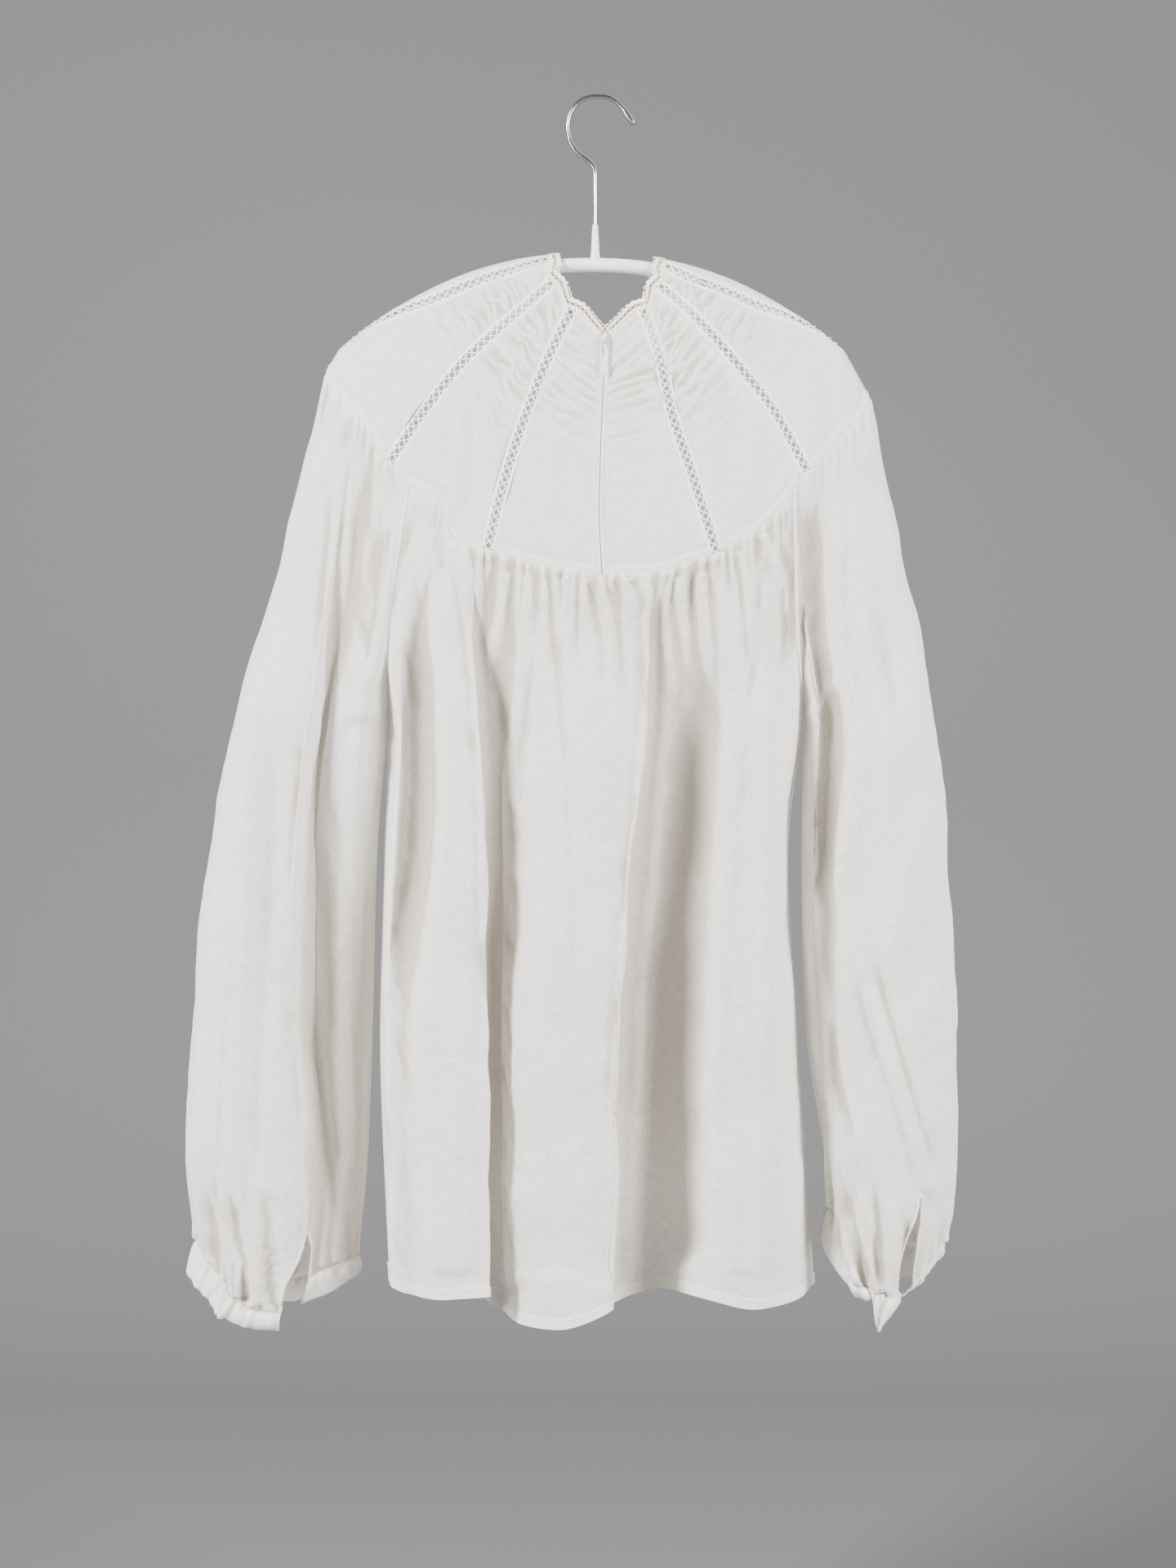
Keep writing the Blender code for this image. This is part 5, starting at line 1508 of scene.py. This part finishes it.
def hanging_piece(name, first, last, folds, seam_a, seam_b, spacing, seed, creases):
    """The grid of a hanging piece with its gathers and creases."""
    is_body = name.startswith("body")
    rows = BODY_ROWS if is_body else SLEEVE_ROWS
    edge = part_of_edge(first, last, spacing)
    seams = [seam_curve(edge[end], ARMHOLES[a], SIDE_SEAMS[b], rows)
             for end, (a, b) in ((0, seam_a), (-1, seam_b))]
    levels = (LEVEL_SHARES, LEVEL_Z) if is_body else (SLEEVE_LEVEL_SHARES, SLEEVE_LEVEL_Z)
    grid, columns, places, along = hung(edge, folds, seams, rows, *levels)
    down = lengths_down(grid)
    around = np.broadcast_to(along[None, :], down.shape)
    wide = np.broadcast_to(columns[None, :], down.shape)
    (plain_first, plain_last), fullness = PLAIN_ENDS[name]
    sides = fade(np.minimum(around, around.max() - around) / SEAM_FADE)
    start = (fade((around - plain_first) / 22)
             * fade((around.max() - around - plain_last) / 14))
    start = (start * 0.9 + 0.1) * sides * fullness
    move = sum(gathers(down, around, seed + more, *size) * start for more, *size in YOKE_GATHERS)
    ends = sides
    if not is_body:
        up = down.max(axis=0) - down
        edges = fade(np.minimum(wide, wide.max() - wide) / SEAM_FADE)
        for more, *size in CUFF_GATHERS:
            move += gathers(up, wide, seed + more, *size) * edges
        ends = sides * edges
    flat = np.stack([wide, down], axis=-1)
    ripples = ruffled(flat / 100, seed, 1.3, 9) + ruffled(flat / 24, seed + 1, 0.26, 14)
    move += ripples * ends * fade(down / 30)
    grid = creased(grid + grid_normals(grid) * move[..., None], creases)
    return grid, columns, places, down, along


hanging_grids = {}
for name, *plan in HANGING:
    hanging_grids[name] = hanging_piece(name, *plan)
    print(name, hanging_grids[name][0].shape[:2])

# %% [markdown]
# ## Slits, cuffs and hems
# Each cuff is a doubled band, unbuttoned, so it hangs open below a short slit bound with
# a strip of the same cloth. The hems are turned up twice and stitched, which shows as a
# whiter band because three layers lie there.

# %% Slits in the sleeves
# Each sleeve's slit: its place round the sleeve, its top, and half its width.
SLITS = {"sleeve_left": (0.765, 0.915, 6.5), "sleeve_right": (0.345, 0.865, 3.2)}
CUFF_AT_SEAM = {"sleeve_left": (1, 10), "sleeve_right": (-7, 24)}
# The part of a sleeve that lies in the shade of its sharpest fold: the fold, the share of
# the sleeve's length where the shade begins, and how strong it is.
SHADED = {"sleeve_left": (0.765, 0.30, 0.85)}
CUFF_ROWS = 14
SLIT_BLEND = 0.09  # share of the sleeve's length over which the slit closes upwards
SLIT_REACH = 25.0  # how far beside the slit the cloth moves, in mm


def fold_moves(name, folds, columns, places):
    """How far each column of a cuff's end lies from the sleeve's end."""
    seam = CUFF_AT_SEAM[name]
    return smooth(columns, places, [seam] + [fold[4:] for fold in folds] + [seam])


def slit_place(folds, columns, places, share):
    """The column at the middle of the slit."""
    k = [fold[0] for fold in folds].index(share) + 1
    return int(np.argmin(np.abs(columns - (places[k] + places[k + 1]) / 2)))


def shaded_share(name, folds, columns, places):
    """How much each point of a sleeve lies in the shade of its sharpest fold."""
    if name not in SHADED:
        return 0.0
    share, start, strength = SHADED[name]
    at = places[[fold[0] for fold in folds].index(share) + 1]
    beyond = fade((columns - at) / 6.0)[None, :] * fade((SLEEVE_ROWS - start) / 0.25)[:, None]
    return strength * beyond


def opened(grid, rows, along, middle, top, slit_half):
    """The sleeve with its columns drawn together above the slit's foot."""
    out = grid.copy()
    far = along - along[middle]
    size = np.abs(far)
    for k in np.nonzero(rows > top - SLIT_BLEND)[0]:
        t = (rows[k] - top) / (1 - top)
        spread = fade(t * 1.5) if t > 0 else 1 - fade((rows[k] - top) / SLIT_BLEND + 1)
        half = slit_half * (0.12 + 0.88 * float(spread))
        new = np.where(size < slit_half, size * half / slit_half,
                       half + (size - slit_half) * (SLIT_REACH - half) / (SLIT_REACH - slit_half))
        new = np.where(size < SLIT_REACH, new, size) * np.sign(far) + along[middle]
        for axis in range(3):
            out[k, :, axis] = np.interp(new, along, grid[k, :, axis])
    return out


def closed_shell(grid, thick, gone=()):
    """A grid made into a thin closed shell, without the cells that are gone."""
    rows, columns = grid.shape[:2]
    normals = grid_normals(grid)
    points = np.concatenate([(grid + normals * thick / 2).reshape(-1, 3),
                             (grid - normals * thick / 2).reshape(-1, 3)])
    count = rows * columns
    outer = [f for k, f in enumerate(grid_faces(rows, columns)) if k not in gone]
    faces = outer + [tuple(i + count for i in reversed(f)) for f in outer]
    edges = {(a, b) for f in outer for a, b in zip(f, f[1:] + f[:1])}
    for a, b in edges:
        if (b, a) not in edges:
            faces.append((b, a, a + count, b + count))
    return points, faces


print("slits:", list(SLITS))

# %% [markdown]
# ## What every sewn piece needs
# Every sheet states how large its flat cloth is, measured along the grid's own rows and
# columns. Seam allowances are marked as one more layer. Stitches run in a chain at a
# fixed distance from an edge.

# %% Measure, stitch and band
SEAM_ALLOWANCE = 6.0
STITCH_PITCH = 3.1
SMALLEST_SHARE = 0.301  # a flat piece fills at least this share of its own rectangle


def declared(thing, grid):
    """Say how large the flat cloth of a piece is."""
    wide = np.linalg.norm(np.diff(grid, axis=1), axis=2).sum(axis=1).max() * MM
    long = np.linalg.norm(np.diff(grid, axis=0), axis=2).sum(axis=0).max() * MM
    area = min(max(grid_area(grid), SMALLEST_SHARE * wide * long), wide * long)
    print("%s flat %.0f x %.0f mm, area %.4f" % (thing.name, wide * 1000, long * 1000, area))


def stitches(name, chains, pitch=STITCH_PITCH):
    """A line of stitches as a piece of its own."""
    thing = repeated(name, chains, STITCH, pitch, THREAD)
    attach(thing, "garment")
    return thing


def chain_at(grid, distance, lift=0.25, skip=0, from_end=True):
    """A chain across the grid at a distance from its first or last row."""
    lines = grid[::-1] if from_end else grid
    normals = grid_normals(grid)
    row = np.array([spaced(lines[:, c], np.array([distance]))[0] for c in range(grid.shape[1])])
    away = normals[-3 if from_end else 2]
    end = grid.shape[1] - skip
    return row[skip:end] + away[skip:end] * lift, away[skip:end]


def extra_layers(down, along):
    """One more layer in the seam allowances at a piece's top and sides."""
    sides = np.minimum(along, along.max() - along)[None, :]
    near = np.minimum(down, np.broadcast_to(sides, down.shape))
    return (near < SEAM_ALLOWANCE).astype(float)


def weave_places(columns, down):
    """Where each point lies on the flat cloth."""
    return np.stack([np.broadcast_to(columns[None, :], down.shape), down], axis=-1)


def cloth_band(name, shape, layers, material):
    """A narrow folded strip of cloth from a band's points and faces."""
    points, faces = shape
    count = np.arange(len(points))
    spots = np.stack([count % 10, count / 5], axis=-1)
    return cloth_piece(name, points, spots, 0.0 * count + layers, material, faces)


print("a seam allowance is", SEAM_ALLOWANCE, "mm")

# %% [markdown]
# ## Cut and sew the hanging pieces
# Each piece becomes a sheet of voile. A sleeve is cut open along its slit, then bound,
# and its cuff is a doubled band that hangs from the gathers.

# %% Cut and sew the hanging pieces
HEM_ROLL = 0.45
HEM_SHADE_EASE = 170  # up to this height above the hem, where the folds open, the painted shade is eased, to half near the hem
CUFF_THICK = 0.9
# How strongly painted shade darkens the hollows between folds and between gathers.
BODY_PAINTED_SHADE = (1.1, 1.3)
SLEEVE_PAINTED_SHADE = (1.6, 1.6)
CUFF_PAINTED_SHADE = (0, 1.1)
FOLDS = {row[0]: row[3] for row in HANGING}


def sewn_body(name):
    """A body piece with its turned-up hem and its stitches."""
    grid, columns, _, down, along = hanging_grids[name]
    up = down[-1][None, :] - down
    roll = HEM_ROLL * fade((HEM_DEPTH - up) / 0.8)
    grid = grid + grid_normals(grid) * roll[..., None]
    layers = np.where(up < HEM_DEPTH, 2.0, extra_layers(down, along))
    # Painted shade in the hollows, eased near the hem.
    shaded = painted_shade_depth(grid, *BODY_PAINTED_SHADE) * (1 - 0.5 * fade((HEM_SHADE_EASE - up) / 110))
    thing = cloth_piece(name + "_panel", grid, weave_places(columns, -down), layers, BODY_VOILE,
                        painted_shade=shaded)
    dressed(thing, name)
    sewn = stitches(name + "_stitches", [chain_at(grid, HEM_DEPTH - 1.2)])
    declared(thing, grid)
    return grid


def sewn_sleeve(name):
    """A sleeve cut open along its slit, with its cuff, binding and stitches."""
    grid, columns, places, down, along = hanging_grids[name]
    folds = FOLDS[name]
    share, top, slit_half = SLITS[name]
    middle = slit_place(folds, columns, places, share)
    grid = opened(grid, SLEEVE_ROWS, along, middle, top, slit_half)
    first, last = np.nonzero(np.abs(along - along[middle]) < slit_half)[0][[0, -1]]
    cells = grid.shape[1] - 1
    start = int(np.nonzero(SLEEVE_ROWS > top)[0][0])
    faces = [f for k, f in enumerate(grid_faces(*grid.shape[:2]))
             if not (k // cells >= start and first <= k % cells < last)]
    # Painted shade: the shade of the hollows plus the painted shadow beside the sleeve's sharpest
    # fold.
    shaded = painted_shade_depth(grid, *SLEEVE_PAINTED_SHADE) + shaded_share(name, folds, columns, places)
    thing = cloth_piece(name + "_panel", grid, weave_places(columns, -down),
                        extra_layers(down, along), BODY_VOILE, faces, np.minimum(shaded, 1.0))
    dressed(thing, name)
    cuff_name = name.replace("sleeve", "cuff")
    cuff_grid, shell = cuff(name, grid, folds, columns, places, first, last)
    spots = weave_places(columns, lengths_down(cuff_grid)).reshape(-1, 2)
    # Painted shade in the hollows between the cuff's gathers, on both walls of the shell.
    shaded = np.tile(painted_shade_depth(cuff_grid, *CUFF_PAINTED_SHADE).ravel(), 2)
    band_piece = cloth_piece(cuff_name + "_band", shell[0], np.concatenate([spots] * 2),
                             np.ones(len(shaded)), CUFF_VOILE, shell[1], shaded)
    dressed(band_piece, cuff_name)
    placket_name = name.replace("sleeve", "placket")
    bound = binding(grid, start, first, last)
    placket = cloth_band(placket_name + "_binding", bound, 1, CUFF_VOILE)
    dressed(placket, placket_name)
    chains = [chain_at(part, 1.4, 0.7, 1, False)
              for part in (cuff_grid[:, :first + 1], cuff_grid[:, last:])]
    sewn = stitches(cuff_name + "_stitches", chains)
    declared(band_piece, cuff_grid)
    declared(thing, grid)
    return grid


def cuff(name, grid, folds, columns, places, first, last):
    """The cuff band below a sleeve, open at the slit."""
    moves = fold_moves(name, folds, columns, places)
    shares = np.linspace(0, 1, CUFF_ROWS)
    rows = []
    for t in shares:
        row = grid[-1] + np.stack([moves[:, 0], 0 * moves[:, 0], -moves[:, 1]], axis=1) * t
        row[:, 1] *= 1 + 0.16 * t * (1 - t)
        rows.append(row)
    cuff_grid = np.array(rows)
    down = lengths_down(cuff_grid)
    wide = np.broadcast_to(columns[None, :], down.shape)
    move = gathers(down, wide, 90 + len(folds), 3.0, (8, 30), (4.0, 10.0), 1.9)
    puff = 0.9 * np.sin(math.pi * shares)[:, None]
    cuff_grid = cuff_grid + grid_normals(cuff_grid) * (move + puff)[..., None]
    cells = grid.shape[1] - 1
    gone = {k for k in range((CUFF_ROWS - 1) * cells) if first <= k % cells < last}
    return cuff_grid, closed_shell(cuff_grid, CUFF_THICK, gone)


def binding(grid, start, first, last):
    """The narrow binding round the slit."""
    normals = grid_normals(grid)
    spots = [(r, first) for r in range(grid.shape[0] - 1, start - 1, -1)]
    spots += [(start, c) for c in range(first + 1, last)]
    spots += [(r, last) for r in range(start, grid.shape[0])]
    line = np.array([grid[s] for s in spots])
    away = np.array([normals[s] for s in spots])
    along = unit(np.gradient(line, axis=0))
    side = unit(np.cross(along, away))
    pucker = 0.25 * np.sin(np.arange(len(line)) * 1.9)[:, None]
    return band((line - side * 1.7, away), (line + side * 0.5, away), 0.25 + pucker, 0.9, 0.6)


sewn_grids = {name: sewn_body(name) if name.startswith("body") else sewn_sleeve(name)
              for name in hanging_grids}

# %% [markdown]
# ## Seams of the armholes
# Where a sleeve joins the body, both allowances are bound together. Through the thin
# cloth that shows as a narrow pale roll from the yoke to the underarm.

# %% Seams of the armholes
ROLL_HALF = 1.1


def armhole_seam(name, body, column):
    """A narrow roll where a sleeve joins the body, from the yoke to the underarm."""
    grid = sewn_grids[body]
    rows = int(np.nonzero(BODY_ROWS <= UNDERARM)[0][-1])
    line = grid[:rows, column]
    away = grid_normals(grid)[:rows, 3 if column == 0 else -4]
    side = unit(np.cross(unit(np.gradient(line, axis=0)), away)) * ROLL_HALF
    shape = band((line - side, away), (line + side, away), 0.2, 0.7, 0.6)
    thing = cloth_band(name, shape, 2, BODY_VOILE)
    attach(thing, "garment")
    return thing


armhole_seams = [armhole_seam("armhole_" + body[5:] + "_" + side, body, column)
                 for body in ("body_back", "body_front")
                 for side, column in (("first", 0), ("last", -1))]
print("armhole seams:", [t.name for t in armhole_seams])

# %% [markdown]
# ## Stitches on the yoke
# The yoke's lower edge is turned in over the gathers and topstitched, and each panel is
# stitched down beside its openwork.

# %% Stitches on the yoke
yoke_chains = []
for name, _, _, _, _ in PANELS:
    grid = yoke_grids[name]
    yoke_chains.append(chain_at(grid, 2.2, 0.25, 1))
    normals = grid_normals(grid)
    for column in (1, -2):
        yoke_chains.append((grid[6:-4, column] + normals[6:-4, column] * 0.2,
                            normals[6:-4, column]))
yoke_stitches = stitches("yoke_stitches", yoke_chains, 3.0)
for name, thing in yoke_sheets.items():
    trims = [yoke_stitches] if name == "yoke_front" else []
    declared(thing, yoke_grids[name])

# %% [markdown]
# ## The hanger
# The bar is a plastic-coated arc whose coat rises into a short neck round the wire. The
# wire is bent into an open hook with a blunt end. All three are tubes swept along lines
# in the hanger's plane.

# %% The hanger
BAR_RADIUS = 4.85
BAR_HALF_SPAN = 170.0
BAR_END = 4.3
BAR_STEPS = 141
WIRE_RADIUS = 1.5
HOOK_STEPS = 150
BLUNT_STEPS = 14
HOOK_LINE = (
    (-1.8, -89.0), (-1.8, -54.0), (-3.0, -47.5), (-7.0, -43.0), (-12.5, -39.0),
    (-17.0, -34.0), (-20.0, -27.0), (-21.0, -19.4), (-19.6, -11.2), (-15.6, -4.4),
    (-9.5, 0.0), (-2.0, 1.6), (5.5, 1.3), (12.0, -1.4), (16.6, -5.6),
    (20.4, -11.1), (24.4, -16.6),
)


def hanger_part(name, node, finish, line, radii, sides):
    """A round piece along a line in the hanger's plane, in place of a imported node."""
    thing = joined(name, [swept(line, (0, 1.0, 0), radii, sides)], finish)
    return dressed(thing, node)


def rounded_end(radius, length, steps=7):
    """Distances beyond a bar's end and radii there."""
    out = np.sin(np.linspace(0, math.pi / 2, steps))[1:] * length
    return out, radius * np.sqrt(np.maximum(1 - (out / length) ** 2, 0.004))


def hanger():
    """Bar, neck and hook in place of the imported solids."""
    x = BAR_MIDDLE_X + np.linspace(-BAR_HALF_SPAN, BAR_HALF_SPAN, BAR_STEPS)
    beyond, ends = rounded_end(BAR_RADIUS, BAR_END)
    x = np.r_[x[0] - beyond[::-1], x, x[-1] + beyond]
    z = ridge_z(x) - CLOTH_OVER_BAR * bar_steepness(x)
    radii = np.r_[ends[::-1], np.full(BAR_STEPS, BAR_RADIUS), ends]
    line = np.stack([x, 0 * x, z], axis=1)
    bar = hanger_part("coated_bar", "hanger_bar", COAT, line, radii, 32)
    foot = float(ridge_z(HOOK_LINE[0][0])) - CLOTH_OVER_BAR
    top = HOOK_LINE[0][1] + 1.5
    heights = np.linspace(foot + 3.6, top - 0.2, 24)
    radii = np.interp(heights, (foot, foot + 9, foot + 17, top), (2.85, 2.85, 2.5, 1.9))
    radii += 0.9 * np.exp(-(heights - heights[0]) / 2.2)
    radii[-1] *= 0.8
    line = [(HOOK_LINE[0][0], 0, h) for h in heights]
    neck = hanger_part("coated_neck", "hanger_neck", COAT, line, radii, 28)
    line = np.array([(a, 0, b) for a, b in HOOK_LINE])
    line[0, 2] = top - 2
    line = np.concatenate([line, [line[-1] + (line[-1] - line[-2]) * 0.2]])
    lengths = along_line(line)
    line = smooth(np.linspace(0, lengths[-1], HOOK_STEPS), lengths, line)
    radii = np.full(HOOK_STEPS, WIRE_RADIUS)
    radii[-BLUNT_STEPS:] += 0.6 * np.sqrt(np.sin(np.linspace(0, math.pi, BLUNT_STEPS)))
    radii[-1] = 0.9
    hook = hanger_part("wire_hook", "hanger_hook", WIRE, line, radii, 20)
    return bar, neck, hook


hanger_pieces = hanger()
print("hanger:", [len(p.data.polygons) for p in hanger_pieces])

# %% [markdown]
# ## The end
# The small shapes that the tree repeated are removed.

# %% The end
for shape in (STITCH, CROSSING, RUNG, PICOT, COIL_TURN):
    mesh = shape.data
    bpy.data.objects.remove(shape)
    bpy.data.meshes.remove(mesh)
